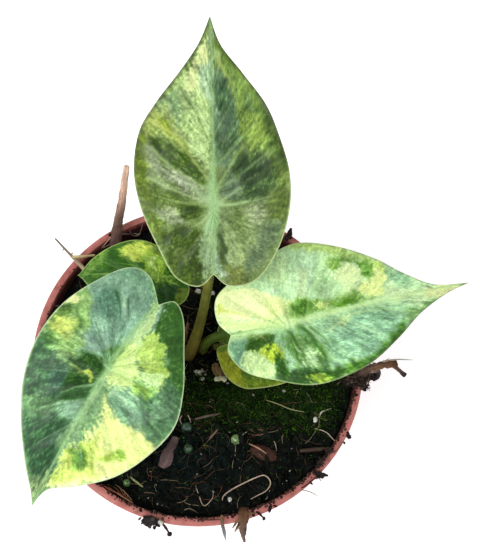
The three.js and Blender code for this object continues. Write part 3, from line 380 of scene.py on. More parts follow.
            ((60, 110, 70), 0.5, 0.8, [(4.5, 15), (12, 20)]),
            ((176, 214, 150), 0.4, 0.7, [(5, 1), (11, 1), (23, 1.5)]),
            ((84, 136, 56), 0.6, 0.7, [(-2, 0), (2, -0.5), (6.5, -0.5)]),
            ((190, 224, 176), 0.4, 0.6, [(7, -1.5), (10, -5), (14, -8.5)]),
            ((196, 222, 190), 0.5, 0.7, [(6, 5), (6, 9.5), (8, 14.5)]),
        ],
    ),
    "small_left": dict(
        place=(-14.8, 21.3, 126), heading=172, rise=-8, roll=0, tip_bend=0.012, lobe_bend=0.01,
        groove=0.2, crown=0.01, puff=0.5, wave=0.4, notch=(-9, 0), tip=(31, 0.4),
        left=[(-11.2, 3.6), (-10.3, 8.2), (-6.4, 10.8), (-0.5, 12.3), (6, 13), (12.5, 12),
              (19, 9.3), (24.6, 5.4), (28.4, 2)],
        right=[(-11.3, -3.4), (-9.8, -7.4), (-5, -9.9), (0.5, -10.6), (7, -12.6), (13.5, -12.5),
               (20.4, -9.9), (26, -5.6), (29, -1.8)],
        petiole=[(-5.8, 4.9, 86), (-7.6, 6, 96), (-9.7, 10, 107), (-12.2, 15, 116.4)],
        thickness=(1.5, 1.6, 1.3, 1.2),
        rays=0.4, base=(52, 104, 10), midrib=(140, 176, 80), vein=(130, 168, 70), vein_strength=0.35,
        fleck=(150, 180, 60), fleck_strength=0.3, margin_line=(160, 176, 104),
        patches=[
            ((176, 192, 76), 1, 1, [(16, -8.6), (13, -11.4), (5, -12), (1, -10.4), (0, -7), (4, -6), (9, -5),
                (13, -6)]),
            ((138, 172, 54), 1, 0.95, [(8, -7), (3, -10), (-1, -8), (-3, 1), (0, 3), (3, 0), (6, -4)]),
            # Painted highlight: a short pale streak
            ((200, 216, 160), 0.4, 0.8, [(4, -6), (2, -2), (0.6, -0.5), (2, -3), (3.4, -6.4)]),
            ((98, 122, 38), 0.8, 0.95, [(6, -13), (3, -12), (-4, -9), (-3, -5), (3, -8.5)]),
            ((142, 174, 72), 0.8, 0.9, [(2, 0), (-7, 1.4), (-8, 3.4), (0, 2.4)]),
            ((38, 84, 6), 0.7, 1, [(1.5, 2.4), (-8, 3.5), (-9.6, 8), (-2, 11), (2, 8)]),
            ((112, 132, 42), 0.6, 0.9, [(-7.4, 4), (-11.6, 4.6), (-11, 9), (-8, 9.4)]),
            ((102, 142, 56), 1, 0.9, [(29, 2), (26, -6), (20, -10), (20, -6), (24, -1)]),
            ((150, 190, 96), 1.2, 0.8, [(14, 4), (8, 8), (12, 12), (20, 8)]),
        ],
        strokes=[((150, 182, 90), 0.4, 0.6, [(4, -1), (10, -3.4), (16, -4)])],
    ),
    "small_right": dict(
        place=(17.9, 2.4, 107.5), heading=2, rise=-1, roll=0, tip_bend=0.008, lobe_bend=0.01,
        groove=0.2, crown=0.01, puff=0.4, wave=0.3, notch=(-8.6, 0.6), tip=(35, 0),
        left=[(-11.6, 2.4), (-11.2, 6.8), (-8.4, 11.6), (-3, 14.6), (4, 15.2), (12, 13.6),
              (19.5, 10), (26, 5.8), (31, 2)],
        right=[(-11.9, -1.2), (-11.3, -6), (-8.6, -12), (-3.3, -15.8), (3, -16.1), (11.5, -14.4),
               (19, -10.8), (25.5, -6.5), (31, -2.2)],
        petiole=[(3.9, 5.3, 86), (5.4, 4.9, 96), (8.6, 4, 101), (12.6, 3.1, 104)],
        thickness=(1.3, 1.4, 1.2, 1.1),
        rays=0.5, base=(88, 120, 30), midrib=(150, 176, 70), vein=(150, 172, 80), vein_strength=0.4,
        fleck=(176, 190, 90), fleck_strength=0.35, margin_line=(176, 186, 116),
        patches=[
            ((164, 170, 40), 1.4, 1, [(-13, -1), (-12.4, -8), (-8, -14.6), (-2, -17), (-4, -9), (-8, -2)]),
            ((120, 140, 34), 1.4, 0.9, [(-1, -13), (6, -14), (12, -12), (10, -17), (0, -18)]),
            ((150, 182, 80), 1.4, 0.8, [(2, 4), (14, 6), (20, 2), (8, -2)]),
            ((96, 130, 44), 1.4, 0.8, [(-6, 6), (2, 12), (10, 12), (2, 6)]),
            ((176, 192, 96), 1, 0.8, [(14, -8), (22, -7), (26, -3), (18, -4)]),
        ],
        strokes=[((170, 190, 96), 0.4, 0.6, [(2, -1), (8, -6), (11, -12)])],
    ),
}

# Wood and bark. A path is in millimetres; pixels are (across, down, height) places in the photograph.
WOOD = {
    "wooden_stick": dict(
        path=[(-32.2, 38, 87), (-32, 42.6, 100), (-31.2, 47.8, 107.6), (-29.8, 53, 113),
              (-28.6, 58.8, 118.4), (-27.5, 65.3, 124)],
        radii=(2.1, 2.1, 2, 1.6, 1.3, 1.1),
        tints=[(56, 42, 38), (64, 44, 40), (84, 60, 54), (132, 102, 90), (210, 172, 150), (228, 192, 168)]),
    "thorny_twig": dict(
        path=[(-38.5, 29.4, 93), (-42.2, 32.3, 101), (-47.5, 36.9, 105.2), (-50.5, 39.6, 107),
              (-53.6, 42.4, 109)],
        radii=(0.9, 0.9, 0.75, 0.45, 0.3),
        tints=[(196, 176, 128), (200, 178, 132), (176, 156, 124), (140, 122, 106), (110, 96, 86)]),
    "thorny_shoot": dict(
        path=[(-47.3, 36.7, 105.1), (-43.6, 37, 105.2), (-39.4, 38.4, 103.4)], radii=(0.65, 0.6, 0.35),
        tints=[(190, 170, 124), (196, 176, 130)]),
    "hanging_long": dict(
        pixels=[(340, 388, 95), (353, 380, 101.6), (367, 370, 105), (383, 365, 105), (396.5, 363.5, 104.6)],
        radii=(1, 1.2, 1.35, 1.05, 1.25), flatness=1.2,
        tints=[(30, 24, 20), (40, 30, 26), (84, 66, 58), (116, 84, 62), (96, 60, 42)]),
    "hanging_low": dict(
        pixels=[(392, 365, 104.8), (398.5, 369.5, 104), (405, 375.5, 103)], radii=(0.9, 0.7, 0.7, 1),
        tints=[(110, 78, 60), (96, 76, 68), (40, 32, 32)]),
    "hanging_short": dict(
        pixels=[(363, 373, 104), (371, 370, 105), (378, 371.5, 104.4), (378, 376, 103.6), (373, 380.5, 103)],
        radii=(0.8, 1.1, 1, 0.9, 0.5), tints=[(70, 54, 46), (130, 112, 102), (44, 36, 36), (26, 20, 24)]),
    "hanging_thread": dict(
        pixels=[(383, 361.5, 105.8), (397, 359.5, 105.4), (413, 360, 104.6)], radii=(0.4, 0.3, 0.14),
        tints=[(150, 130, 116), (170, 164, 156), (190, 186, 180)]),
    "petiole_sheath": dict(
        path=[(-6.4, 2.6, 90), (-6.9, 3.4, 97), (-5.6, 6.4, 104), (-4.4, 9.6, 110)],
        radii=(0.8, 1.2, 1, 0.4), flatness=0.45,
        tints=[(60, 36, 26), (96, 58, 42), (128, 82, 60), (140, 102, 78)]),
    "rim_shred": dict(
        pixels=[(245, 506, 94), (244, 512, 102), (243.5, 519, 103.1), (242, 527, 99.6), (243, 535, 96.6),
                (244.5, 542, 94.4)],
        radii=(1.3, 1.6, 1.9, 1.6, 1, 0.45), flatness=0.32,
        tints=[(60, 36, 30), (104, 66, 46), (104, 74, 52), (88, 68, 58), (96, 80, 72)]),
    "grey_shred": dict(
        pixels=[(222, 515, 102.4), (222, 522, 102.4), (224, 531, 98.4), (226, 541, 94.2)],
        radii=(0.2, 0.24, 0.24, 0.06), flatness=2.4,
        tints=[(120, 84, 58), (104, 90, 80), (110, 114, 116), (170, 174, 174)]),
    "bark_front": dict(
        pixels=[(175.5, 437, 98.6), (173, 444, 98.6), (169, 451, 98.7), (166, 459, 98.6), (161, 467, 98.3)],
        radii=(0.5, 0.65, 0.7, 1, 0.95, 0.5), flatness=2.3,
        tints=[(96, 78, 76), (78, 60, 60), (88, 68, 70), (104, 84, 84), (92, 72, 70)]),
}
# Bark chips: place, half sizes, turn in degrees, colour and height above the mix
CHIPS = {
    "bark_right": dict(at=(23.3, -34.6), sizes=(4.8, 2.4, 0.9), turn=-20, colour=(58, 32, 24), lift=0.25),
    "bark_crown": dict(at=(7, -4.6), sizes=(3.3, 1.9, 1.5), turn=-58, colour=(128, 102, 68), lift=1),
}

# Small things on the mix, each set down where its pixel of the photograph meets the surface
# Perlite: pixel and radius
PERLITE = [
    (196, 371.5, 0.9), (199, 372.4, 1), (202.5, 371.2, 0.85), (205, 373.5, 0.8), (200, 374.6, 0.8),
    (196.6, 374.2, 0.6), (202, 379.3, 0.95), (229, 500, 1), (315, 420, 1),
    (198.5, 292, 1.1), (212.5, 294, 1), (228, 383.6, 0.6), (237, 422, 0.45), (256, 445, 0.3),
    (253.5, 450, 0.3), (291, 449, 0.4), (290, 471, 0.4), (286.5, 481, 0.35), (283, 483.5, 0.35),
    (295, 462, 0.3), (228, 454, 0.35), (201, 454, 0.3), (157.5, 504, 0.35), (162, 505, 0.35),
    (148, 498, 0.35), (173, 507, 0.3), (154, 511, 0.35), (186, 517, 0.3), (253, 395, 0.5), (268, 390, 0.45),
    (213.5, 492, 0.3), (240, 468, 0.35), (284, 391, 0.6), (210, 402, 0.4),
]
PERLITE_CLUMP, CLUMP_GRAINS = (219, 379.5, 1.2), 9
# Prills: pixel, radius and colour
PRILLS = [(236, 440, 1.9, (112, 140, 84)), (188, 449, 1.8, (38, 66, 40)), (187, 428, 2.1, (40, 70, 54)),
          (127, 483, 1.4, (66, 96, 44)), (246, 388, 1.2, (60, 86, 30))]
# Strands: radius, colour, pixels and height above the mix
STRANDS = [
    (0.22, (186, 164, 144), [(222, 505), (223, 497), (230, 491), (245, 483), (256, 478), (264, 476), (269, 480),
                            (270, 485), (266, 491), (257, 496), (249, 500)], 1.4),
    (0.2, (150, 130, 120), [(270, 488), (268, 496), (263, 503)], 0.7),
    (0.17, (170, 150, 130), [(195, 483), (198, 493), (204, 506), (212, 499), (213, 493), (212, 489)], 0.7),
    (0.17, (164, 160, 116), [(266, 400, 2.2), (278, 404, 2.2), (290, 409, 2.2), (304, 412, 1.6)], 0),
    (0.22, (196, 186, 172), [(318, 420), (321, 413), (325, 411), (332, 408)], 0.8),
    (0.2, (184, 162, 150), [(315, 428), (326, 433), (333, 440), (341, 444)], 1),
    (0.2, (170, 176, 140), [(241, 441), (242, 436), (248, 431)], 0.8),
    (0.28, (170, 128, 104), [(248, 443), (258, 450), (271, 457)], 3.4),
    (0.25, (150, 126, 104), [(259, 428), (267, 432)], 0.8),
    (0.18, (140, 132, 112), [(272, 438), (275, 444), (277, 452)], 0.7),
    (0.3, (132, 106, 94), [(208, 441), (215, 433), (222, 425)], 0.8),
    (0.45, (108, 92, 80), [(192, 420), (206, 417), (222, 413)], 0.6),
    (0.3, (186, 182, 176), [(208, 397), (213, 402)], 0.6),
    (0.22, (190, 150, 146), [(183, 414), (180, 420), (184, 428)], 0.9),
    (0.2, (186, 160, 150), [(186, 412), (190, 420), (191, 428)], 0.9),
    (0.4, (134, 138, 92), [(130, 477), (136, 482), (143, 487)], 0.9),
    (0.16, (176, 132, 112), [(112, 482), (124, 492), (138, 507)], 2.4),
    (0.14, (150, 100, 80), [(118, 484), (123, 494), (131, 503)], 2.2),
    (0.14, (140, 92, 72), [(106, 484), (116, 489), (124, 499)], 2.2),
    (0.14, (160, 128, 96), [(124, 489), (126, 497), (134, 502)], 2.2),
    (0.8, (66, 50, 39), [(300, 451), (318, 450), (334, 449)], 0.6),
    (0.16, (150, 110, 90), [(333, 449), (324, 461), (316, 470)], 2),
    (0.14, (130, 100, 84), [(338, 450), (330, 460), (322, 466)], 2.4),
    (0.4, (76, 54, 44), [(168, 517), (194, 520), (220, 518)], 1.6),
    (0.16, (128, 112, 96), [(178, 515), (188, 509), (200, 514)], 1),
    (0.2, (180, 168, 156), [(112, 245, 3), (122, 236, 3), (132, 233, 2.6), (139, 234, 2),
        (142, 224, 1.6)], 0),
    (0.3, (150, 128, 104), [(131, 222, 5), (119, 232, 4.4), (108, 244, 3), (101, 252, 1.4)], 0),
    (0.14, (150, 132, 120), [(124, 224, 4.6), (133, 226, 3.4), (133, 236, 2)], 0),
    (0.12, (150, 140, 130), [(50, 306, 5.8), (58, 306, 3), (66, 308, 1)], 0),
    (0.14, (160, 150, 132), [(186, 380, 2), (184, 372, 1.5), (187, 364, 0.6)], 0),
    (0.18, (120, 96, 78), [(272, 228, 4), (278, 233, 4.6), (284, 240, 5)], 0),
]

# Kinds of crumb: share of all, size, spread of the size, ball level, colours
CRUMB_KINDS = [
    (0.5, 0.42, 0.45, 0, [(13, 13, 11), (22, 19, 15), (9, 10, 9), (34, 27, 20), (14, 20, 16)]),
    (0.36, 0.75, 0.4, 0, [(19, 17, 14), (36, 27, 20), (11, 12, 11), (48, 37, 29), (16, 26, 22),
        (28, 26, 24)]),
    (0.06, 1.15, 0.35, 1, [(28, 21, 16), (46, 33, 25), (18, 16, 15), (38, 34, 32)]),
    (0.08, 0.2, 0.4, 0, [(120, 118, 108), (84, 80, 72), (160, 156, 148)]),
]
CRUMB_SHADE = (0.38, 0.56, 0.53)
# Fibre colours, and how often each comes
FIBRE_TINTS = [(84, 62, 46), (50, 38, 30), (112, 90, 68), (150, 132, 108), (36, 30, 25), (58, 60, 44),
               (110, 66, 48)]
FIBRE_WEIGHTS = [0.22, 0.24, 0.16, 0.08, 0.14, 0.08, 0.08]
FIBRE_LENGTHS, FIBRE_RADII, FIBRE_STEPS = (3, 13), (0.05, 0.14), 5
MOSS_TINTS = [(44, 78, 14), (33, 62, 12), (62, 94, 22), (38, 68, 14)]
MOSS_HEIGHTS, MOSS_WIDTHS = (0.4, 1.3), (0.14, 0.3)
# Stalk colours at the foot, in the middle and under the blade
STALK_TINTS = {
    "back": ((112, 104, 40), (104, 106, 34), (150, 178, 108)),
    "right": ((92, 104, 36), (70, 98, 26), (170, 205, 120)),
    "front": ((108, 104, 42), (92, 108, 42), (150, 190, 110)),
    "small_left": ((110, 112, 48), (100, 122, 50), (140, 170, 80)),
    "small_right": ((112, 116, 50), (112, 126, 48), (150, 170, 86)),
}
# Torn strips of the bark shred, by pixel and height
SHRED_LINES = [
    [(240, 517, 102.7), (236, 523, 101.4), (232.5, 528, 100)],
    [(241, 520, 102.8), (237, 527, 100.4), (235, 532, 98.6)],
    [(247, 512, 102.4), (249, 516, 102.5), (246, 523, 100.4)],
    [(238, 516, 102.4), (246, 514, 102.9), (255, 513, 102.4)],
    [(244, 517, 103), (246, 526, 100), (245.5, 535, 96.8)],
    [(240, 526, 100.8), (237, 529, 99.8), (234.5, 531, 99)],
]
THORN_PLACES, THORN_STEPS = (16, 22, 27, 32), 40
CLOD_PLACE = (149.5, 521, 103.2)
CLOD_TINTS = ((40, 36, 30), (24, 22, 20), (70, 60, 52))
SHRED_RADII = (0.42, 0.3, 0.36)
SHRED_TINTS = ((116, 88, 64), (66, 46, 36), (150, 122, 98))
# Crumbs on the rim: middle of the stretch and its spread in degrees, and how many
RIM_CRUMBS = [(-92, 16, 220), (-66, 8, 160), (-44, 11, 260), (-20, 11, 260), (-6, 4, 100), (30, 8, 30),
              (-128, 14, 120), (165, 25, 30)]
RIM_CRUMB_TINTS = ((30, 22, 20), (52, 34, 28), (70, 48, 38))
LIP_TOP, LIP_INNER, LIP_OUTER = 101.9, 57.2, 59.4
# Lumps on the rim: pixel, size and stretch
RIM_LUMPS = [(348.8, 436.5, 1, 1), (348, 433, 0.55, 1.2), (270, 508.5, 0.7, 2), (275, 506, 0.4, 2),
             (253, 513.5, 0.6, 2), (264, 518.5, 0.65, 1), (344.4, 443, 0.45, 1), (311, 483, 0.4, 2)]
# Threads on the rim: radius, colour, pixels with heights
RIM_THREADS = [
    (0.45, (34, 24, 26), [(255, 511, 101), (259, 513.5, 102.5), (264, 518.5, 102)]),
    (0.7, (34, 30, 28), [(313, 472, 101.8), (320, 473.6, 102.6), (325, 475, 102.4), (328, 475.6, 102.2)]),
    (0.3, (110, 60, 46), [(101, 484, 100), (113, 491, 102.3), (128, 497, 100)]),
    (0.22, (140, 96, 72), [(108, 487, 100), (120, 495, 102.3), (133, 503, 102.2)]),
    (0.22, (176, 150, 124), [(126.7, 223, 102.3), (119, 229, 102.3), (111.7, 236.7, 102.2), (105, 244, 100.5),
                             (100, 250, 98)]),
    (0.18, (160, 140, 126), [(130, 234, 97.5), (120, 235, 101), (111.7, 243, 99.5), (103, 248, 98.8)]),
    (0.18, (124, 98, 92), [(143, 223, 101.6), (141, 230, 99), (139, 235, 97), (133, 235.5, 97.8),
                           (129.5, 230, 100.6), (128, 224, 102.4)]),
    (1, (40, 31, 28), [(286, 240, 101), (289, 236, 102.6), (290, 232, 104.4), (291, 228.5, 105.8)]),
    (0.2, (90, 54, 44), [(190, 518, 101), (206, 520, 102.4), (224, 519, 102.3)]),
    (0.25, (70, 44, 38), [(298, 489, 101), (304, 487, 102.4), (313, 480, 102.4), (321, 476, 102.4)]),
    (0.2, (120, 90, 70), [(331, 456, 100), (337, 450, 102.4), (344, 441, 102.4)]),
    (0.16, (120, 110, 104), [(299, 489.5, 102), (309, 491.5, 101.8), (318, 496, 99.5)]),
]
# Matted clumps on the rim: corners by pixel, height of the top, how many bits
RIM_CLUMPS = [
    (((315, 471), (318, 479), (326, 475)), 102.6, 40), (((283, 239), (293, 238), (289, 233)), 104, 44),
    (((108, 236), (116, 229), (119, 234)), 102.6, 24), (((316, 469), (325, 460), (322, 457)), 102.5, 34),
    (((325, 458), (333, 449), (329, 446)), 102.5, 34),
]

# Numbers and noise


def lattice(x, y, z, seed):
    mixed = (x * 374761393 + y * 668265263 + z * 362437 + seed * 1274126177) & 0xFFFFFFFF
    mixed = ((mixed ^ (mixed >> 13)) * 1274126177) & 0xFFFFFFFF
    return ((mixed ^ (mixed >> 16)) & 0xFFFF) / 65535


def value_noise(points, seed):
    """Smooth noise from -1 to 1 at an array of 3-D points."""
    cell = np.floor(points).astype(np.int64)
    part = points - cell
    part = part * part * (3 - 2 * part)
    total = 0
    for corner in range(8):
        step = [(corner >> axis) & 1 for axis in range(3)]
        weight = 1
        for axis in range(3):
            share = part[:, axis]
            weight = weight * (share if step[axis] else 1 - share)
        total = total + weight * lattice(*(cell[:, axis] + step[axis] for axis in range(3)), seed)
    return 2 * total - 1


def fractal(points, octaves, seed):
    points = np.asarray(points, float)
    total, size, reach = 0, 1, 0
    for octave in range(octaves):
        total = total + size * value_noise(points * 2**octave, seed + 17 * octave)
        reach += size
        size *= 0.55
    return total / reach


def columns(*arrays):
    """Arrays of one shape as the columns of one flat table."""
    shape = np.broadcast_shapes(*(np.shape(a) for a in arrays))
    return np.stack([np.broadcast_to(a, shape).ravel() for a in arrays], -1)


def smoothstep(low, high, value):
    share = np.clip((value - low) / (high - low), 0, 1)
    return share * share * (3 - 2 * share)


def mix(first, second, share):
    return first + (np.asarray(second, float) - first) * np.asarray(share)[..., None]


def linear(colour):
    """A 0 to 255 screen colour as linear light from 0 to 1."""
    value = np.clip(np.asarray(colour, float) / 255, 0, 1)
    return np.where(value <= 0.04045, value / 12.92, ((value + 0.055) / 1.055) ** 2.4)


def counted(count):
    """A count as a whole number."""
    return int(count * (1))


def unit(vectors):
    return vectors / np.maximum(np.linalg.norm(vectors, axis=-1, keepdims=True), 1e-9)


def smooth_path(points, count):
    """Centripetal Catmull-Rom through the points, at evenly spaced places."""
    knots = np.array(points, float)
    if len(knots) == 2:
        return knots[0] + (knots[1] - knots[0]) * np.linspace(0, 1, count)[:, None]
    knots = np.vstack([2 * knots[0] - knots[1], knots, 2 * knots[-1] - knots[-2]])
    traced = []
    for i in range(1, len(knots) - 2):
        a, b, c, d = knots[i - 1:i + 3]
        times = [0]
        for start, end in ((a, b), (b, c), (c, d)):
            times.append(times[-1] + max(np.linalg.norm(end - start), 1e-6) ** 0.5)
        t0, t1, t2, t3 = times
        t = np.linspace(t1, t2, 24, endpoint=i == len(knots) - 3)[:, None]
        ab = a + (b - a) * (t - t0) / (t1 - t0)
        bc = b + (c - b) * (t - t1) / (t2 - t1)
        cd = c + (d - c) * (t - t2) / (t3 - t2)
        abc = ab + (bc - ab) * (t - t0) / (t2 - t0)
        bcd = bc + (cd - bc) * (t - t1) / (t3 - t1)
        traced.append(abc + (bcd - abc) * (t - t1) / (t2 - t1))
    traced = np.vstack(traced)
    run = np.concatenate([[0], np.cumsum(np.linalg.norm(np.diff(traced, axis=0), axis=1))])
    places = np.linspace(0, run[-1], count)
    return np.stack([np.interp(places, run, traced[:, axis]) for axis in range(3)], -1)


def path_frames(path):
    """Two directions across a path at each of its points, turning as little as they can."""
    tangents = unit(np.gradient(path, axis=0))
    guide = np.array([0, 0, 1.0]) if abs(tangents[0, 2]) < 0.9 else np.array([1.0, 0, 0])
    first = []
    for tangent in tangents:
        guide = unit(guide - tangent * (guide @ tangent))
        first.append(guide)
    first = np.array(first)
    return tangents, first, np.cross(tangents, first)


# Meshes


def add_object(name, vertices, faces, node_slot, colours=None, uv=None, smooth=True, hides=()):
    """A mesh in millimetres as an object in metres that rides with the plant."""
    data = bpy.data.meshes.new(name)
    vertices = np.asarray(vertices, float) * MM
    counts = np.concatenate([np.full(len(group), group.shape[1]) for group in faces])
    loops = np.concatenate([group.ravel() for group in faces]).astype(np.int32)
    data.vertices.add(len(vertices))
    data.vertices.foreach_set("co", vertices.astype(np.float32).ravel())
    data.loops.add(len(loops))
    data.loops.foreach_set("vertex_index", loops)
    data.polygons.add(len(counts))
    starts = np.concatenate([[0], np.cumsum(counts)[:-1]]).astype(np.int32)
    data.polygons.foreach_set("loop_start", starts)
    data.polygons.foreach_set("use_smooth", np.full(len(counts), smooth))
    data.update(calc_edges=True)
    if colours is not None:
        layer = data.color_attributes.new("Colour", "FLOAT_COLOR", "POINT")
        rgba = np.ones((len(vertices), 4), np.float32)
        rgba[:, :3] = linear(colours)
        layer.data.foreach_set("color", rgba.ravel())
    if uv is not None:
        layer = data.uv_layers.new(name="Run")
        layer.data.foreach_set("uv", np.asarray(uv, np.float32)[loops].ravel())
    data.validate()
    made = bpy.data.objects.new(name, data)
    bpy.context.scene.collection.objects.link(made)
    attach(made, "root")
    if hides:
        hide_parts(*hides)
    return made


def grid_faces(rows, across, closed):
    """Quads of a grid whose points run across first; closed joins the last column to the first."""
    row, column = np.meshgrid(np.arange(rows - 1), np.arange(across if closed else across - 1), indexing="ij")
    follow = (column + 1) % across
    return np.stack([row * across + column, row * across + follow,
                     (row + 1) * across + follow, (row + 1) * across + column], -1).reshape(-1, 4)


def cap_faces(start, sides, centre, turned):
    """Triangles from a ring of points, whose first one is start, to one centre point."""
    here = start + np.arange(sides)
    follow = start + (np.arange(sides) + 1) % sides
    pair = (follow, here) if turned else (here, follow)
    return np.stack([*pair, np.full(sides, centre)], -1)


def around_circle(sides):
    return np.linspace(0, 2 * math.pi, sides, endpoint=False)


def tube(path, radii, sides, rings, flatness, rough, grain, seed):
    """A rounded tube: its points, its quads, its two end caps and each point's run and turn."""
    middle = smooth_path(path, rings)
    share = np.linspace(0, 1, rings)
    radius = np.interp(share, np.linspace(0, 1, len(radii)), radii)
    tangents, first, second = path_frames(middle)
    turn = around_circle(sides)
    around = np.cos(turn)[None, :, None] * first[:, None]
    around = around + flatness * np.sin(turn)[None, :, None] * second[:, None]
    length = np.linalg.norm(np.diff(middle, axis=0), axis=1).sum()
    ripple = fractal(columns(np.cos(turn)[None] * 1.6, np.sin(turn)[None] * 1.6,
                             share[:, None] * length / grain), 3, seed).reshape(rings, sides)
    points = middle[:, None] + around * (radius[:, None] * (1 + rough * ripple))[..., None]
    ends = np.stack([middle[0] - tangents[0] * radius[0] * 0.4, middle[-1] + tangents[-1] * radius[-1] * 0.4])
    vertices = np.vstack([points.reshape(-1, 3), ends])
    quads = grid_faces(rings, sides, True)
    caps = np.vstack([cap_faces(0, sides, rings * sides, True),
                      cap_faces((rings - 1) * sides, sides, rings * sides + 1, False)])
    run = np.concatenate([np.repeat(share, sides), [0, 1]])
    spin = np.concatenate([np.tile(turn, rings), [0, 0]])
    return dict(vertices=vertices, quads=quads, caps=caps, run=run, spin=spin, length=length)


def skin_noise(part, across, along, octaves, seed, shift=0):
    """Noise on a tube's skin, with marks round it and along it."""
    spin = part["spin"]
    places = columns(np.cos(spin) * across, np.sin(spin) * across, part["run"] * along + shift)
    return fractal(places, octaves, seed)


def join(parts):
    """Several tubes or lumps as one set of points, quads and triangles."""
    vertices, quads, caps, colours, offset = [], [], [], [], 0
    for part in parts:
        vertices.append(part["vertices"])
        if len(part.get("quads", [])):
            quads.append(part["quads"] + offset)
        if len(part.get("caps", [])):
            caps.append(part["caps"] + offset)
        colours.append(part["colours"])
        offset += len(part["vertices"])
    faces = []
    if quads:
        faces.append(np.vstack(quads))
    if caps:
        faces.append(np.vstack(caps))
    return np.vstack(vertices), faces, np.vstack(colours)


def ball(level):
    """Points and triangles of a ball made from an icosahedron."""
    gold = (1 + 5**0.5) / 2
    points = [(-1, gold, 0), (1, gold, 0), (-1, -gold, 0), (1, -gold, 0), (0, -1, gold), (0, 1, gold),
              (0, -1, -gold), (0, 1, -gold), (gold, 0, -1), (gold, 0, 1), (-gold, 0, -1), (-gold, 0, 1)]
    triangles = [(0, 11, 5), (0, 5, 1), (0, 1, 7), (0, 7, 10), (0, 10, 11), (1, 5, 9), (5, 11, 4), (11, 10, 2),
                 (10, 7, 6), (7, 1, 8), (3, 9, 4), (3, 4, 2), (3, 2, 6), (3, 6, 8), (3, 8, 9), (4, 9, 5),
                 (2, 4, 11), (6, 2, 10), (8, 6, 7), (9, 8, 1)]
    points = [tuple(unit(np.array(p, float))) for p in points]
    for _ in range(level):
        known, finer = {}, []

        def middle(a, b):
            key = (min(a, b), max(a, b))
            if key not in known:
                known[key] = len(points)
                points.append(tuple(unit((np.array(points[a]) + np.array(points[b])) / 2)))
            return known[key]

        for a, b, c in triangles:
            ab, bc, ca = middle(a, b), middle(b, c), middle(c, a)
            finer += [(a, ab, ca), (b, bc, ab), (c, ca, bc), (ab, bc, ca)]
        triangles = finer
    return np.array(points), np.array(triangles)


def random_turns(count, rng, flat=0.0):
    """Random rotations as matrices; flat keeps them nearer to turns about the upright."""
    yaw = rng.uniform(0, 2 * math.pi, count)
    tilt = rng.uniform(-1, 1, (count, 2)) * (1 - flat) * math.pi
    cy, sy = np.cos(yaw), np.sin(yaw)
    cx, sx = np.cos(tilt[:, 0]), np.sin(tilt[:, 0])
    cz, sz = np.cos(tilt[:, 1]), np.sin(tilt[:, 1])
    zero, one = np.zeros(count), np.ones(count)
    about_z = np.stack([cy, -sy, zero, sy, cy, zero, zero, zero, one], -1).reshape(-1, 3, 3)
    about_x = np.stack([one, zero, zero, zero, cx, -sx, zero, sx, cx], -1).reshape(-1, 3, 3)
    about_y = np.stack([cz, zero, sz, zero, one, zero, -sz, zero, cz], -1).reshape(-1, 3, 3)
    return about_z @ about_x @ about_y


def scatter_lumps(spots, sizes, colours, rng, level, knock, flat=0.4, shapes=6):
    """Angular lumps at the spots, each with its own size along three axes, turn and colour."""
    spots, sizes, colours = (np.array(values, float) for values in (spots, sizes, colours))
    count = len(spots)
    base, triangles = ball(level)
    forms = [base * (1 - knock / 2 + knock * rng.random(len(base)))[:, None] for _ in range(shapes)]
    forms = np.array(forms)[rng.integers(0, shapes, count)]
    turned = np.einsum("nij,nkj->nki", random_turns(count, rng, flat), forms * sizes[:, None])
    vertices = (turned + spots[:, None]).reshape(-1, 3)
    faces = (triangles[None] + np.arange(count)[:, None, None] * len(base)).reshape(-1, 3)
    shade = 1 + 0.16 * rng.standard_normal((count, len(base), 1))
    tints = np.clip(colours[:, None] * shade, 0, 255).reshape(-1, 3)
    return dict(vertices=vertices, caps=faces, colours=tints)


# Materials


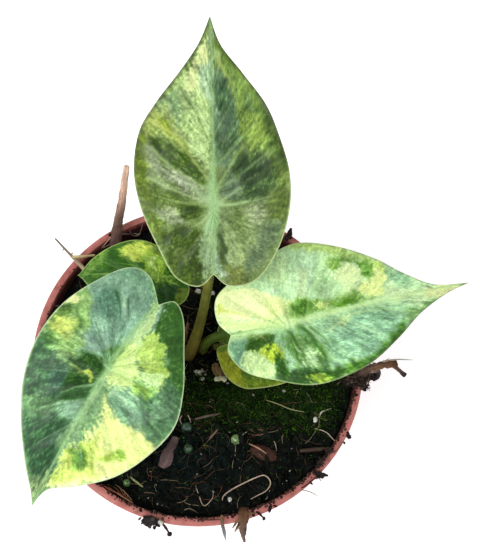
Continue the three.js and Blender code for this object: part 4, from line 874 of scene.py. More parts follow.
def surface(name, roughness, grain, contrast, bumps, specular, coat=0.0, stretch=(1, 1, 1), plain=None,
            glow=0.0):
    """A material that reads the mesh's own colour and gives it grain, unevenness and bumps.
    grain is in marks a millimetre; bumps are (marks a millimetre, height in millimetres) pairs."""
    made = bpy.data.materials.new(name)
    made.use_nodes = True
    nodes, links = made.node_tree.nodes, made.node_tree.links
    shader = nodes["Principled BSDF"]
    shader.inputs["Specular IOR Level"].default_value = specular
    shader.inputs["Coat Weight"].default_value = coat
    shader.inputs["Coat Roughness"].default_value = 0.35
    shader.inputs["Emission Color"].default_value = (1, 1, 1, 1)
    shader.inputs["Emission Strength"].default_value = glow
    place = nodes.new("ShaderNodeTexCoord")
    scaled = nodes.new("ShaderNodeMapping")
    scaled.inputs["Scale"].default_value = stretch
    links.new(place.outputs["Object"], scaled.inputs["Vector"])

    def noise(marks, detail, distortion=0.0):
        node = nodes.new("ShaderNodeTexNoise")
        node.inputs["Scale"].default_value = marks * 1000
        node.inputs["Detail"].default_value = detail
        node.inputs["Roughness"].default_value = 0.6
        node.inputs["Distortion"].default_value = distortion
        links.new(scaled.outputs["Vector"], node.inputs["Vector"])
        return node.outputs["Fac"]

    def ranged(source, low, high):
        node = nodes.new("ShaderNodeMapRange")
        node.inputs["From Min"].default_value = 0.3
        node.inputs["From Max"].default_value = 0.7
        node.inputs["To Min"].default_value = low
        node.inputs["To Max"].default_value = high
        links.new(source, node.inputs["Value"])
        return node.outputs["Result"]

    if plain is None:
        source = nodes.new("ShaderNodeAttribute")
        source.attribute_name = "Colour"
        colour = source.outputs["Color"]
    else:
        source = nodes.new("ShaderNodeRGB")
        source.outputs[0].default_value = (*linear(plain), 1)
        colour = source.outputs[0]
    lit = nodes.new("ShaderNodeVectorMath")
    lit.operation = "SCALE"
    links.new(colour, lit.inputs[0])
    links.new(ranged(noise(grain, 6), 1 - contrast, 1 + contrast), lit.inputs["Scale"])
    links.new(lit.outputs["Vector"], shader.inputs["Base Color"])
    dullest = min(1, roughness + ROUGHNESS_SPREAD)
    links.new(ranged(noise(grain * 0.4, 3), max(0.02, roughness - ROUGHNESS_SPREAD), dullest),
              shader.inputs["Roughness"])
    normal = None
    for marks, height in bumps:
        bump = nodes.new("ShaderNodeBump")
        bump.inputs["Distance"].default_value = height * MM
        bump.inputs["Strength"].default_value = 1
        links.new(noise(marks, 4, 0.2), bump.inputs["Height"])
        if normal is not None:
            links.new(normal, bump.inputs["Normal"])
        normal = bump.outputs["Normal"]
    if normal is not None:
        links.new(normal, shader.inputs["Normal"])
    return made


def wear(made, material):
    made.data.materials.clear()
    made.data.materials.append(material)


def build(name, parts, slot, material, **more):
    """One object from tubes and lumps, with its material."""
    vertices, faces, colours = join(parts)
    wear(add_object(name, vertices, faces, slot, colours, **more), material)


# Leaves


def leaf_frame(leaf):
    heading, rise, roll = (math.radians(leaf[key]) for key in ("heading", "rise", "roll"))
    axis = np.array([math.cos(rise) * math.cos(heading), math.cos(rise) * math.sin(heading), math.sin(rise)])
    level = np.array([-math.sin(heading), math.cos(heading), 0])
    side = level * math.cos(roll) + np.cross(axis, level) * math.sin(roll)
    return axis, side, np.cross(axis, side)


def leaf_point(leaf, u, x, lift):
    """A point of a leaf: u along the bent midrib, x across it, lift above the bent sheet."""
    axis, side, normal = leaf_frame(leaf)
    bend = np.where(u > 0, leaf["tip_bend"], leaf["lobe_bend"])
    turn = bend * u
    up = leaf["groove"] * (np.hypot(x, 2) - 2) - leaf["crown"] * x * x + lift
    forward = np.sin(turn) / bend + up * np.sin(turn)
    rise = up * np.cos(turn) - (1 - np.cos(turn)) / bend
    return (np.array(leaf["place"], float) + forward[..., None] * axis + x[..., None] * side
            + rise[..., None] * normal)


def margin_line(leaf, half, share):
    """Uniform Catmull-Rom round one half's margin, from the notch to the tip."""
    points = np.array([leaf["notch"], *leaf[half], leaf["tip"]], float)
    place = share * (len(points) - 1)
    i = np.minimum(place.astype(int), len(points) - 2)
    t = (place - i)[:, None]
    a, b, c, d = (points[np.clip(i + k, 0, len(points) - 1)] for k in (-1, 0, 1, 2))
    return b + 0.5 * t * (c - a + t * (2 * a - 5 * b + 4 * c - d + t * (3 * (b - c) + d - a)))


def inside_distance(u, x, outline):
    """Distance from points to an outline, positive inside it."""
    points = np.array(outline, float)
    nearest = np.full(u.shape, 1e9)
    inside = np.zeros(u.shape, bool)
    for (au, ax), (bu, bx) in zip(points, np.roll(points, -1, axis=0)):
        du, dx = bu - au, bx - ax
        share = np.clip(((u - au) * du + (x - ax) * dx) / max(du * du + dx * dx, 1e-9), 0, 1)
        nearest = np.minimum(nearest, np.hypot(u - au - share * du, x - ax - share * dx))
        crosses = (ax > x) != (bx > x)
        inside ^= crosses & (u < au + (x - ax) * du / np.where(dx == 0, 1e-9, dx))
    return np.where(inside, nearest, -nearest)


def line_distance(u, x, points):
    """Distance from points to an open line, and the share of the way along it."""
    nearest, run = np.full(u.shape, 1e9), np.zeros(u.shape)
    last = len(points) - 1
    for i in range(last):
        (au, ax), (bu, bx) = points[i], points[i + 1]
        du, dx = bu - au, bx - ax
        share = np.clip(((u - au) * du + (x - ax) * dx) / (du * du + dx * dx), 0, 1)
        distance = np.hypot(u - au - share * du, x - ax - share * dx)
        closer = distance < nearest
        nearest = np.where(closer, distance, nearest)
        run = np.where(closer, (i + share) / last, run)
    return nearest, run


def half_blade(leaf, half, shares, outs):
    """One half's grid: where each point is on the leaf, its relief, and how it lies to the veins."""
    ends = margin_line(leaf, half, shares)
    tip = leaf["tip"][0]
    stops = np.array([0, *VEIN_STOPS, 1])
    starts = tip * np.interp(shares, stops, [leaf["notch"][0] / tip, *VEIN_STARTS, 1])
    count = np.interp(shares, stops, np.arange(len(stops)))
    out = outs[None, :]
    end_u, end_x = ends[:, :1], ends[:, 1:]
    sway = np.where(starts < 0, leaf["notch"][1] * (starts / leaf["notch"][0]) ** 2,
                    leaf["tip"][1] * (starts / tip) ** 2)
    u = starts[:, None] + (end_u - starts[:, None]) * out - VEIN_BOW * abs(end_x) * 2 * out * (1 - out)
    x = sway[:, None] + (end_x - sway[:, None]) * out
    between = np.sin(math.pi * count)[:, None] ** 2
    puff = leaf["puff"] * between * np.sin(math.pi * out**0.8) * np.minimum(1, abs(end_x) / 12)
    wave = leaf["wave"] * out**3 * np.sin(math.pi * (5 * shares[:, None] + np.where(end_x > 0, 0.3, 0)))
    lift = puff + wave * np.sin(math.pi * shares)[:, None]
    step = np.hypot(np.gradient(u, axis=0), np.gradient(x, axis=0)) / np.gradient(count)[:, None]
    nearest = np.round(count)
    vein_gap = abs(count - nearest)[:, None] * step
    real_vein = ((nearest > 0) & (nearest < len(stops) - 1))[:, None]
    return dict(u=u, x=x, lift=lift, out=np.broadcast_to(out, u.shape),
                count=np.broadcast_to(count[:, None], u.shape),
                vein_gap=np.where(real_vein, vein_gap, 9), mid_gap=abs(x - sway[:, None]),
                width=np.broadcast_to(np.hypot(end_u - starts[:, None], end_x - sway[:, None]), u.shape))


def blade_colours(leaf, grid, side, seed):
    """Colours of the upper face: patches with ragged, streaky edges, among them painted sheen, painted
    highlights and painted shade, flecks, painted shade in pits, veins and the pale rim.
    """
    u, x, out, count = (grid[key] for key in ("u", "x", "out", "count"))
    shape = u.shape

    def noise(across, along, octaves, step):
        return fractal(columns(across, along, side), octaves, seed + step).reshape(shape)

    spread = smoothstep(0, 0.45, out) * (0.3 + 0.7 * smoothstep(1.5, 5, count)) * leaf.get("rays", 1)
    streak = noise(count * 5.5, out * 3.2, 3, 0) * spread
    fine_streak = noise(count * 13, out * 6, 3, 5) * spread
    grains = noise(u * 1.7, x * 1.7, 3, 9)
    pits = noise(u * 1.4 + 30, x * 1.4, 3, 10)
    dust = noise(u * 3, x * 3, 2, 11)
    drift = noise(u * 0.22, x * 0.22, 3, 13)
    warp = noise(u * 0.45 + 9, x * 0.45, 3, 21)
    colour = np.broadcast_to(np.array(leaf["base"], float), (*shape, 3)).copy()
    su, sx = u + 1.7 * warp + 0.7 * streak, x + 1.6 * noise(u * 0.5, x * 0.5, 3, 25) + 0.5 * fine_streak
    # Patches: the variegation, some of them painted sheen, painted highlights and painted shade
    for tint, soft, strength, outline in leaf["patches"]:
        depth = inside_distance(su, sx, outline) + (0.4 + 0.8 * soft) * (grains + 0.5 * fine_streak)
        colour = mix(colour, tint, strength * smoothstep(-soft, soft, depth))
    calm = smoothstep(232, 150, colour.mean(-1))
    flecks = smoothstep(0.05, 0.42, 0.4 * grains + 0.4 * dust + 0.4 * fine_streak + 0.3 * drift)
    colour = mix(colour, leaf["fleck"], leaf["fleck_strength"] * 0.6 * flecks * (0.4 + 0.6 * calm))
    # Painted shade in the pits of the skin: darker and greener where the pit noise is high
    painted_pit_shade = smoothstep(0.02, 0.4, 0.6 * pits + 0.45 * streak)
    colour = mix(colour, colour * (0.58, 0.68, 0.5), leaf.get("pits", 0.55) * painted_pit_shade * (0.05 + 0.95 * calm))
    threads = smoothstep(0.13, 0, abs(noise(count * 7 + 5, out * grid["width"] * 0.3, 2, 23))) * spread
    colour = mix(colour, colour * 1.3 + 16, 0.42 * threads * (0.3 + 0.7 * calm))
    speckle = 0.14 * drift + 0.26 * fine_streak + 0.16 * grains + 0.1 * dust
    colour = colour * (1 + speckle * (0.25 + 0.9 * calm))[..., None]
    colour = colour + 0.14 * (colour.mean(-1, keepdims=True) - 140)
    # Strokes: pale veins, and dark strokes of painted shade in creases
    for tint, width, strength, line in leaf["strokes"]:
        distance, run = line_distance(u + 0.3 * warp, x + 0.3 * streak, line)
        fade = np.exp(-((distance / (width * (1 - 0.6 * run))) ** 2))
        colour = mix(colour, tint, strength * fade * (1 - 0.5 * run))
    tip = leaf["tip"][0]
    scale = tip / REFERENCE_TIP
    vein_width = (0.75 - 0.55 * out) * scale
    vein = np.exp(-((grid["vein_gap"] / vein_width) ** 2)) * smoothstep(1.05, 0.6, out)
    vein = vein * (0.3 + 0.7 * smoothstep(2, 4.5, count))
    colour = mix(colour, leaf["vein"], leaf["vein_strength"] * vein * (0.8 + 0.3 * fine_streak))
    along = np.clip(u / tip, -0.4, 1)
    rib_width = scale * np.interp(along, [-0.4, -0.1, 0, 0.15, 1], [0.6, 1.1, 1.5, 0.9, 0.25])
    rib = np.exp(-((grid["mid_gap"] / rib_width) ** 2))
    colour = mix(colour, leaf["midrib"], 0.85 * rib * (0.85 + 0.3 * grains))
    edge = (1 - out) * grid["width"]
    pale_edge = leaf.get("pale_edge", ((0, 1), (9, 1)))
    paleness = np.interp(count, [stop for stop, _ in pale_edge], [value for _, value in pale_edge])
    colour = mix(colour, leaf["margin_line"], 0.85 * paleness * smoothstep(0.6, 0.15, edge))
    colour = mix(colour, colour * 0.6, 0.7 * (1 - paleness) * smoothstep(1.1, 0.2, edge))
    return np.clip(colour, 0, 255)


def blade(leaf, seed, rows):
    """A closed blade: a quilted upper face, a ribbed under face and a thin rounded margin."""
    shares = np.linspace(0, 1, rows[0])
    inner = np.linspace(0, 1, rows[1]) ** 1.05
    outs = np.unique(np.concatenate([inner[inner < 0.955], MARGIN_ROWS]))
    tip = leaf["tip"][0]
    scale = tip / REFERENCE_TIP
    vertices, faces, colours, uv, offset = [], [], [], [], 0
    for side, half in enumerate(("left", "right")):
        grid = half_blade(leaf, half, shares, outs)
        u, x, out, count = (grid[key] for key in ("u", "x", "out", "count"))
        crease = np.exp(-((grid["vein_gap"] / (0.55 * scale)) ** 2)) * smoothstep(1, 0.7, out)
        calm = smoothstep(0, 0.12, out) * smoothstep(1, 0.93, out)
        wrinkles = fractal(columns(count * 2.6, out * grid["width"] * 0.42, side), 3, seed + 31)
        wrinkles = wrinkles.reshape(u.shape)
        swell = fractal(columns(u * 0.16, x * 0.16, side), 2, seed + 37).reshape(u.shape)
        rib = np.exp(-((grid["mid_gap"] / (1.1 * scale)) ** 2))
        top = grid["lift"] + calm * (0.2 * wrinkles + 0.45 * swell) - 0.22 * crease + 0.12 * rib
        for tint, _, _, line in leaf["strokes"]:
            if sum(tint) < DARK_STROKE:
                distance, run = line_distance(u, x, line)
                top = top - 0.25 * np.exp(-((distance / 0.5) ** 2)) * (1 - 0.5 * run) * calm
        edge = (1 - out) * grid["width"]
        half_thick = 0.06 + 0.2 * np.sqrt(np.clip(edge / 1.2, 0, 1))
        depth = MIDRIB_DEPTH * np.clip(1 - u / tip, 0, 1) ** 0.7 * scale
        depth = depth * smoothstep(-0.6 * tip, 0.05 * tip, u)
        ends = smoothstep(0, 0.1, 1 - abs(2 * count / (len(VEIN_STOPS) + 1) - 1))
        ridge = depth * np.exp(-((grid["mid_gap"] / (1.25 * scale)) ** 2)) * ends
        small_ridge = 0.28 * np.exp(-((grid["vein_gap"] / (0.6 * scale)) ** 2)) * smoothstep(1, 0.6, out)
        upper = leaf_point(leaf, u, x, top)
        lower = leaf_point(leaf, u, x, top - 2 * half_thick - ridge - small_ridge)
        paint = blade_colours(leaf, grid, side, seed)
        under = mix(paint, UNDER_TINT, np.full(u.shape, 0.6))
        under = mix(under, UNDER_RIB_TINT, 0.7 * np.exp(-((grid["mid_gap"] / 1.2) ** 2)))
        under = mix(under, UNDER_VEIN_TINT, 0.5 * np.exp(-((grid["vein_gap"] / 0.6) ** 2)))
        quads = grid_faces(*u.shape, False)
        size = u.size
        if side == 0:
            quads = quads[:, ::-1]
        last = u.shape[1] - 1
        rim = np.arange(u.shape[0]) * u.shape[1] + last
        band = np.stack([rim[:-1], rim[1:], rim[1:] + size, rim[:-1] + size], -1)
        if side == 1:
            band = band[:, ::-1]
        vertices += [upper.reshape(-1, 3), lower.reshape(-1, 3)]
        colours += [paint.reshape(-1, 3), under.reshape(-1, 3)]
        faces += [quads + offset, quads[:, ::-1] + size + offset, band + offset]
        uv += [columns(count, out), columns(count, out)]
        offset += 2 * size
    return np.vstack(vertices), [np.vstack(faces)], np.vstack(colours), np.vstack(uv)


def weld(made):
    """Joins the points that lie on one another, such as the two halves along the midrib."""
    work = bmesh.new()
    work.from_mesh(made.data)
    bmesh.ops.remove_doubles(work, verts=work.verts, dist=WELD_REACH)
    bmesh.ops.recalc_face_normals(work, faces=work.faces)
    work.to_mesh(made.data)
    work.free()
    for polygon in made.data.polygons:
        polygon.use_smooth = True


def make_blades(settings):
    looks = surface("Leaf skin", settings.roughness, 1.9, settings.mottling, [(1, 0.08), (2.8, 0.05)],
                    specular=0.3)
    large, small = BLADE_ROWS
    for seed, (name, leaf) in enumerate(LEAVES.items()):
        rows = small if name.startswith("small") else large
        vertices, faces, colours, uv = blade(leaf, 100 * seed + 7, rows)
        node = f"blade_{name}"
        made = add_object(f"leaf_{name}", vertices, faces, node, colours, uv, hides=[node])
        weld(made)
        wear(made, looks)


def petiole_path(leaf):
    """The stalk's path: out of the mix, up, and round into the midrib under the blade."""
    under = [(0.5, -1.5), (5, -1.35), (11, -1.05)]
    scale = leaf["tip"][0] / REFERENCE_TIP
    bend = [leaf_point(leaf, np.array([u * scale]), np.array([0.0]), np.array([lift * (0.5 + 0.5 * scale)]))[0]
            for u, lift in under]
    return [*leaf["petiole"], *bend]


def make_petioles():
    looks = surface("Stalk skin", 0.38, 1.1, 0.22, [(1.4, 0.05)], specular=0.5, coat=0.15,
                    stretch=(1, 1, 0.35))
    for seed, (name, leaf) in enumerate(LEAVES.items()):
        last = leaf["thickness"][-1]
        radii = [*leaf["thickness"], last * 0.95, last * 0.7, last * 0.3]
        part = tube(petiole_path(leaf), radii, 24, 110, 1, 0.05, 2.5, seed)
        low, middle, high = (np.array(tint, float) for tint in STALK_TINTS[name])
        run = part["run"]
        shade = mix(mix(np.broadcast_to(low, (len(run), 3)), middle, smoothstep(0.1, 0.45, run)), high,
                    smoothstep(0.72, 0.97, run))
        streaks = skin_noise(part, 2.4, 3, 3, seed + 40)
        blotch = skin_noise(part, 1, part["length"] / 3, 3, seed + 50)
        shade = shade * (1 + 0.22 * streaks + 0.2 * blotch)[:, None]
        shade = mix(shade, (92, 60, 40), 0.65 * smoothstep(0.26, 0.08, run) * smoothstep(-0.4, 0.5, streaks))
        part["colours"] = np.clip(shade, 0, 255)
        build(f"stalk_{name}", [part], f"petiole_{name}", looks, hides=[f"petiole_{name}"])


# Pot


def pot_rings():
    """The pot's outline with points close enough for its colours, as radius and height."""
    points = []
    for (r0, z0), (r1, z1) in zip(POT_OUTLINE[:-1], POT_OUTLINE[1:]):
        steps = max(1, int(math.hypot(r1 - r0, z1 - z0) / OUTLINE_STEP))
        points += [(r0 + (r1 - r0) * k / steps, z0 + (z1 - z0) * k / steps) for k in range(steps)]
    return np.array(points)[1:].T


def pot_colours(points, plastic):
    """Plastic with blotches and splashes of soil, painted shade inside, painted shade with some soil stain on
    the inner half of the lip, and a painted highlight along the top of the lip.
    """
    x, y, z = points.T
    reach = np.hypot(x, y)
    blotch = fractal(points * 0.09, 3, 71)
    fine = fractal(points * 0.9, 3, 72)
    tint = np.broadcast_to(np.array(plastic, float) * 255, points.shape)
    colour = tint * (1 + 0.07 * blotch + 0.05 * fine)[:, None]
    # Painted shade inside the pot: the inner wall darkens below the lip
    wall = np.interp(z, [3, 84.6, 86, 99, POT_HEIGHT], [42.3, 54.2, 57.2, 59.2, RIM_RADIUS])
    deep = (reach < wall - 1) & (z > 1.9)
    shade = mix(colour * (0.3, 0.24, 0.24), colour, smoothstep(99.5, 101.9, z))
    colour = np.where(deep[:, None], shade, colour)
    # Painted shade with some soil stain: the inner half of the lip top goes dark red
    lip_shade_and_stain = 0.75 * (reach < 58.3) * (z > 101.3) * smoothstep(-0.3, 0.3, fine + blotch)
    colour = mix(colour, (92, 44, 40), lip_shade_and_stain)
    splash = smoothstep(0.1, 0.5, fractal(points * (0.35, 0.35, 0.18), 3, 73))
    colour = mix(colour, (84, 48, 42), 0.45 * splash * smoothstep(60, 101, z) * (reach > 57.7))
    dusty = fractal(points * (0.2, 0.2, 0.04), 3, 74)
    colour = mix(colour, (150, 112, 100), 0.3 * smoothstep(0.2, 0.7, dusty))
    # Painted highlight along the top of the lip
    colour = mix(colour, (202, 132, 124), 0.6 * smoothstep(101.2, 101.9, z) * smoothstep(-0.6, 0.3, fine))
    colour = mix(colour, (60, 40, 34), 0.6 * smoothstep(6, 0, z))
    return np.clip(colour, 0, 255)


def cut_drain_hole(made, angle):
    place = (DRAIN_RING * MM * math.cos(angle), DRAIN_RING * MM * math.sin(angle), 0)
    work = bmesh.new()
    radius = DRAIN_RADIUS * MM
    bmesh.ops.create_cone(work, cap_ends=True, segments=40, radius1=radius, radius2=radius, depth=8 * MM,
                          matrix=Matrix.Translation(place))
    cutter = bpy.data.meshes.new("drain_hole_cutter")
    work.to_mesh(cutter)
    work.free()
    tool = bpy.data.objects.new("drain_hole_cutter", cutter)
    bpy.context.scene.collection.objects.link(tool)
    cut = made.modifiers.new("Drain hole", "BOOLEAN")
    cut.operation, cut.object, cut.solver = "DIFFERENCE", tool, "EXACT"
    bpy.context.view_layer.update()
    finished = bpy.data.meshes.new_from_object(made.evaluated_get(bpy.context.evaluated_depsgraph_get()))
    made.modifiers.clear()
    made.data = finished
    bpy.data.objects.remove(tool)
    bpy.data.meshes.remove(cutter)


def make_pot(settings):
    radius, height = pot_rings()
    turn = around_circle(POT_SIDES)
    uneven = fractal(columns(np.cos(turn)[None] * 3, np.sin(turn)[None] * 3, height[:, None] * 0.05), 2, 61)
    ring_radius = radius[:, None] + 0.08 * uneven.reshape(-1, POT_SIDES)
    around = np.stack([ring_radius * np.cos(turn), ring_radius * np.sin(turn),
                       np.broadcast_to(height[:, None], ring_radius.shape)], -1).reshape(-1, 3)
    under, inside = len(around), len(around) + 1
    vertices = np.vstack([around, [[0, 0, POT_OUTLINE[0][1]], [0, 0, POT_OUTLINE[-1][1]]]])
    caps = np.vstack([cap_faces(0, POT_SIDES, under, True),
                      cap_faces(under - POT_SIDES, POT_SIDES, inside, False)])
    made = add_object("nursery_pot", vertices, [grid_faces(len(radius), POT_SIDES, True), caps], "pot_plastic",
                      pot_colours(vertices, settings.rim_tint), hides=["pot"])
    for hole in range(DRAIN_HOLES):
        cut_drain_hole(made, 2 * math.pi * hole / DRAIN_HOLES)
    made.data.polygons.foreach_set("use_smooth", np.ones(len(made.data.polygons), bool))
    plastic = surface("Pot plastic", settings.roughness, 0.6, 0.08, [(0.35, 0.06), (3, 0.02)], specular=0.45)
    wear(made, plastic)
    made.data.set_sharp_from_angle(angle=math.radians(CRISP_ANGLE))


# Potting mix


def mix_height(x, y):
    slope = MIX_SLOPE * (0.6 * x - 0.8 * y) / RIM_RADIUS
    mound = np.exp(-((x - CROWN[0]) ** 2 + (y - CROWN[1]) ** 2) / 260)
    lumps = (np.sin(0.31 * x + 0.9) * np.cos(0.27 * y - 0.4) + 0.6 * np.sin(0.62 * x - 0.5 * y + 2.1)
             + 0.4 * np.cos(0.9 * x + 0.74 * y))
    return MIX_LEVEL + slope + mound + MIX_BUMP * lumps


def soil_height(x, y):
    """The mix with its finer crumbs."""
    x, y = np.asarray(x, float), np.asarray(y, float)
    shape = x.shape
    spots = columns(x, y, 0)
    crumbs = 0.8 * fractal(spots * 0.3, 3, 81) + 0.55 * abs(fractal(spots * 0.75, 3, 83))
    return mix_height(x, y) + crumbs.reshape(shape) - 0.2


def seen_at(px, py, level):
    """The point at a height, in millimetres, that a pixel of the photograph shows."""
    ray = (CAMERA_FORWARD + (px - IMAGE_WIDTH / 2) / FOCAL_PIXELS * CAMERA_RIGHT
           - (py - IMAGE_HEIGHT / 2) / FOCAL_PIXELS * CAMERA_UP)
    return CAMERA_PLACE + ray * (level - CAMERA_PLACE[2]) / ray[2]


def on_soil(px, py, lift=0.0):
    """Where a pixel of the photograph meets the mix, or a height above it, in millimetres."""
    level = MIX_LEVEL
    for _ in range(4):
        spot = seen_at(px, py, level)
        level = float(soil_height(spot[0], spot[1])) + lift
    return np.array([spot[0], spot[1], level])


def moss_share(x, y):
    """How much moss grows at a place of the mix: most in front of the small right leaf."""
    near = 1.3 * np.exp(-(((x - 19) / 24) ** 2 + ((y + 15) / 8.5) ** 2))
    far = 0.5 * np.exp(-(((x - 42) / 10) ** 2 + ((y + 16) / 9) ** 2))
    back = 0.3 * np.exp(-(((x - 30) / 20) ** 2 + ((y - 30) / 14) ** 2))
    return near + far + back + 0.02


# Where the painted cold-tinted shade lies on the mix: strongest to the front
def cold_shade_share(x, y):
    return np.exp(-(((x + 2) / 18) ** 2 + ((y + 36) / 13) ** 2))


def soil_colours(points, seed):
    """Near black, with browns and greys, and painted cold-tinted shade to the front left."""
    x, y, _ = points.T
    rough = fractal(points * 0.5, 3, seed)
    fine = fractal(points * 2.1, 2, seed + 3)
    colour = np.broadcast_to(np.array((9, 14, 12), float), points.shape)
    colour = mix(colour, (36, 28, 21), smoothstep(0.1, 0.6, rough))
    colour = mix(colour, (6, 7, 6), smoothstep(0, -0.4, fine))
    # Painted cold-tinted shade
    colour = mix(colour, (5, 28, 28), 0.9 * cold_shade_share(x, y) * smoothstep(-0.6, 0.2, rough))
    moss = moss_share(x, y) * smoothstep(-0.5, 0.2, rough + fine)
    return mix(colour, (33, 64, 10), 0.9 * np.clip(moss, 0, 1))


def make_mix_bed():
    rings, sides = ((110, 300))
    radius = np.linspace(0, 1, rings + 1)[1:] * MIX_RADIUS
    turn = around_circle(sides)
    x, y = radius[:, None] * np.cos(turn), radius[:, None] * np.sin(turn)
    top = np.stack([x, y, soil_height(x, y)], -1).reshape(-1, 3)
    lower = np.concatenate([np.stack([r * np.cos(turn), r * np.sin(turn), np.full(sides, z)], -1)
                            for r, z in MIX_SKIRT])
    vertices = np.vstack([top, lower, [[0, 0, float(soil_height(0, 0))], [0, 0, MIX_BASE]]])
    total = rings + len(MIX_SKIRT)
    caps = np.vstack([cap_faces(0, sides, total * sides, False),
                      cap_faces((total - 1) * sides, sides, total * sides + 1, True)])
    made = add_object("mix_bed", vertices, [grid_faces(total, sides, True)[:, ::-1], caps], "potting_mix",
                      soil_colours(vertices, 91), hides=["potting_mix"])
    wear(made, surface("Damp mix", 0.8, 1.4, 0.5, [(1.2, 0.4), (4, 0.15)], specular=0.1))


def free_spots(count, rng, most=LOOSE_RADIUS):
    reach = most * np.sqrt(rng.random(count))
    turn = 2 * math.pi * rng.random(count)
    return reach * np.cos(turn), reach * np.sin(turn)


def make_crumbs(settings):
    """Crumbs, bark flakes and grit that cover the mix."""
    rng = np.random.default_rng(5)
    many = counted(settings.crumbs)
    parts = []
    for share, size, spread, level, colours in CRUMB_KINDS:
        grit = size < 0.3
        count = int(many * share)
        x, y = free_spots(count, rng)
        sizes = size * np.exp(spread * rng.standard_normal((count, 3))) * (1.3, 0.85, 0.55)
        sizes = np.minimum(sizes, size * 2.4)
        z = soil_height(x, y) + 0.3 * sizes[:, 2] + (0.1 if grit else 0)
        tints = np.array(colours, float)[rng.integers(0, len(colours), count)]
        tints = tints * np.exp(0.2 * rng.standard_normal((count, 1)))
        if not grit:
            # Painted cold-tinted shade on the crumbs
            tints = mix(tints, (14, 30, 30), 0.6 * cold_shade_share(x, y))
            tints = mix(tints, (40, 74, 10), 0.9 * np.clip(moss_share(x, y), 0, 1))
        part = scatter_lumps(np.stack([x, y, z], -1), sizes, tints, rng, level, 0.5)
        part["colours"] = part["colours"] * CRUMB_SHADE
        parts.append(part)
    build("mix_crumbs", parts, "potting_mix", surface("Crumbs", 0.8, 1.8, 0.4, [(2.5, 0.12)], specular=0.12),
          smooth=False)


def strand(points, radius, sides, rings, colour, seed, rough=0.15):
    """A thread, fibre or root, thinner at its ends."""
    part = tube(points, [radius * 0.8, radius, radius, radius * 0.5], sides, rings, 1, rough, 1, seed)
    shade = 1 + 0.2 * skin_noise(part, 1, 9, 2, seed, seed)
    part["colours"] = np.clip(np.array(colour, float) * shade[:, None], 0, 255)
    return part


def make_fibres(settings):
    """Coir fibres and hair roots that lie loose on the mix."""
    rng = np.random.default_rng(9)
    parts = []
    for index in range(counted(settings.fibres)):
        x, y = free_spots(1, rng, 53)
        heading, curl = rng.uniform(0, 2 * math.pi), rng.normal(0, 0.3)
        step = rng.uniform(*FIBRE_LENGTHS) / FIBRE_STEPS
        spots = [(x[0], y[0])]
        for _ in range(FIBRE_STEPS):
            heading += curl + rng.normal(0, 0.35)
            spots.append((spots[-1][0] + step * math.cos(heading), spots[-1][1] + step * math.sin(heading)))
        spots = np.array([spot for spot in spots if math.hypot(*spot) < 56])
        if len(spots) < 3:
            continue
        height = soil_height(spots[:, 0], spots[:, 1]) + 0.35 + 0.5 * rng.random(len(spots))
        tint = FIBRE_TINTS[rng.choice(len(FIBRE_TINTS), p=FIBRE_WEIGHTS)]
        parts.append(strand(np.column_stack([spots, height]), rng.uniform(*FIBRE_RADII), 4, 9, tint, index))
    build("coir_fibres", parts, "potting_mix", surface("Coir", 0.75, 2.5, 0.25, [(3, 0.05)], specular=0.2))


def make_roots():
    """Roots, stems and threads that lie on the mix, each where the photograph shows it."""
    parts = []
    for index, (radius, colour, pixels, lift) in enumerate(STRANDS):
        spots = np.array([on_soil(*pixel) for pixel in pixels])
        if lift:
            share = np.linspace(0, 1, len(spots))
            spots[:, 2] += radius + lift * np.sin(math.pi * share) ** 0.5 * 0.8
            spots[[0, -1], 2] -= 0.5
        parts.append(strand(spots, radius, 8, 9 * len(spots), colour, index + 3, 0.2))
    build("loose_roots", parts, "potting_mix", surface("Root skin", 0.6, 2, 0.25, [(2, 0.06)], specular=0.3))


def make_grains(settings):
    """Perlite, and the round prills of slow fertiliser."""
    rng = np.random.default_rng(21)
    spots, sizes, tints = [], [], []
    for px, py, radius in PERLITE:
        spots.append(on_soil(px, py) + (0, 0, radius * 0.4))
        sizes.append(radius * np.array((1.15, 0.95, 0.8)))
        tints.append((206, 202, 192) if radius >= 1 else (160, 156, 142))
    clump = on_soil(*PERLITE_CLUMP)
    for _ in range(CLUMP_GRAINS):
        spots.append(clump + (rng.uniform(-2, 2), rng.uniform(-0.5, 0.5), rng.uniform(0.6, 1.2)))
        sizes.append(rng.uniform(0.6, 0.95) * np.array((1.2, 0.9, 0.9)))
        tints.append((236, 230, 186))
    for x, y in zip(*free_spots(settings.perlite, rng, 55)):
        radius = float(np.clip(0.28 * math.exp(0.5 * rng.standard_normal()), 0.15, 0.8))
        spots.append((x, y, float(soil_height(x, y)) + 0.35 * radius))
        sizes.append(radius * np.array((1.1, 0.9, 0.8)))
        tints.append((150, 148, 138))
    build("perlite", [scatter_lumps(spots, sizes, tints, rng, 2, 0.25, 0)], "potting_mix",
          surface("Perlite", 0.85, 2, 0.2, [(2.2, 0.25), (6, 0.08)], specular=0.25))
    spots = [on_soil(px, py) + (0, 0, radius * 0.4) for px, py, radius, _ in PRILLS]
    sizes = [(radius, radius, radius * 0.95) for _, _, radius, _ in PRILLS]
    part = scatter_lumps(spots, sizes, [colour for *_, colour in PRILLS], rng, 3, 0.05, 0)
    shade = 1 + 0.6 * fractal(part["vertices"] * 0.9, 3, 4)
    part["colours"] = np.clip(part["colours"] * shade[:, None], 0, 255)
    build("fertiliser_prills", [part], "potting_mix",
          surface("Prill coat", 0.22, 1.5, 0.45, [(1.5, 0.1)], specular=0.6, coat=0.4))


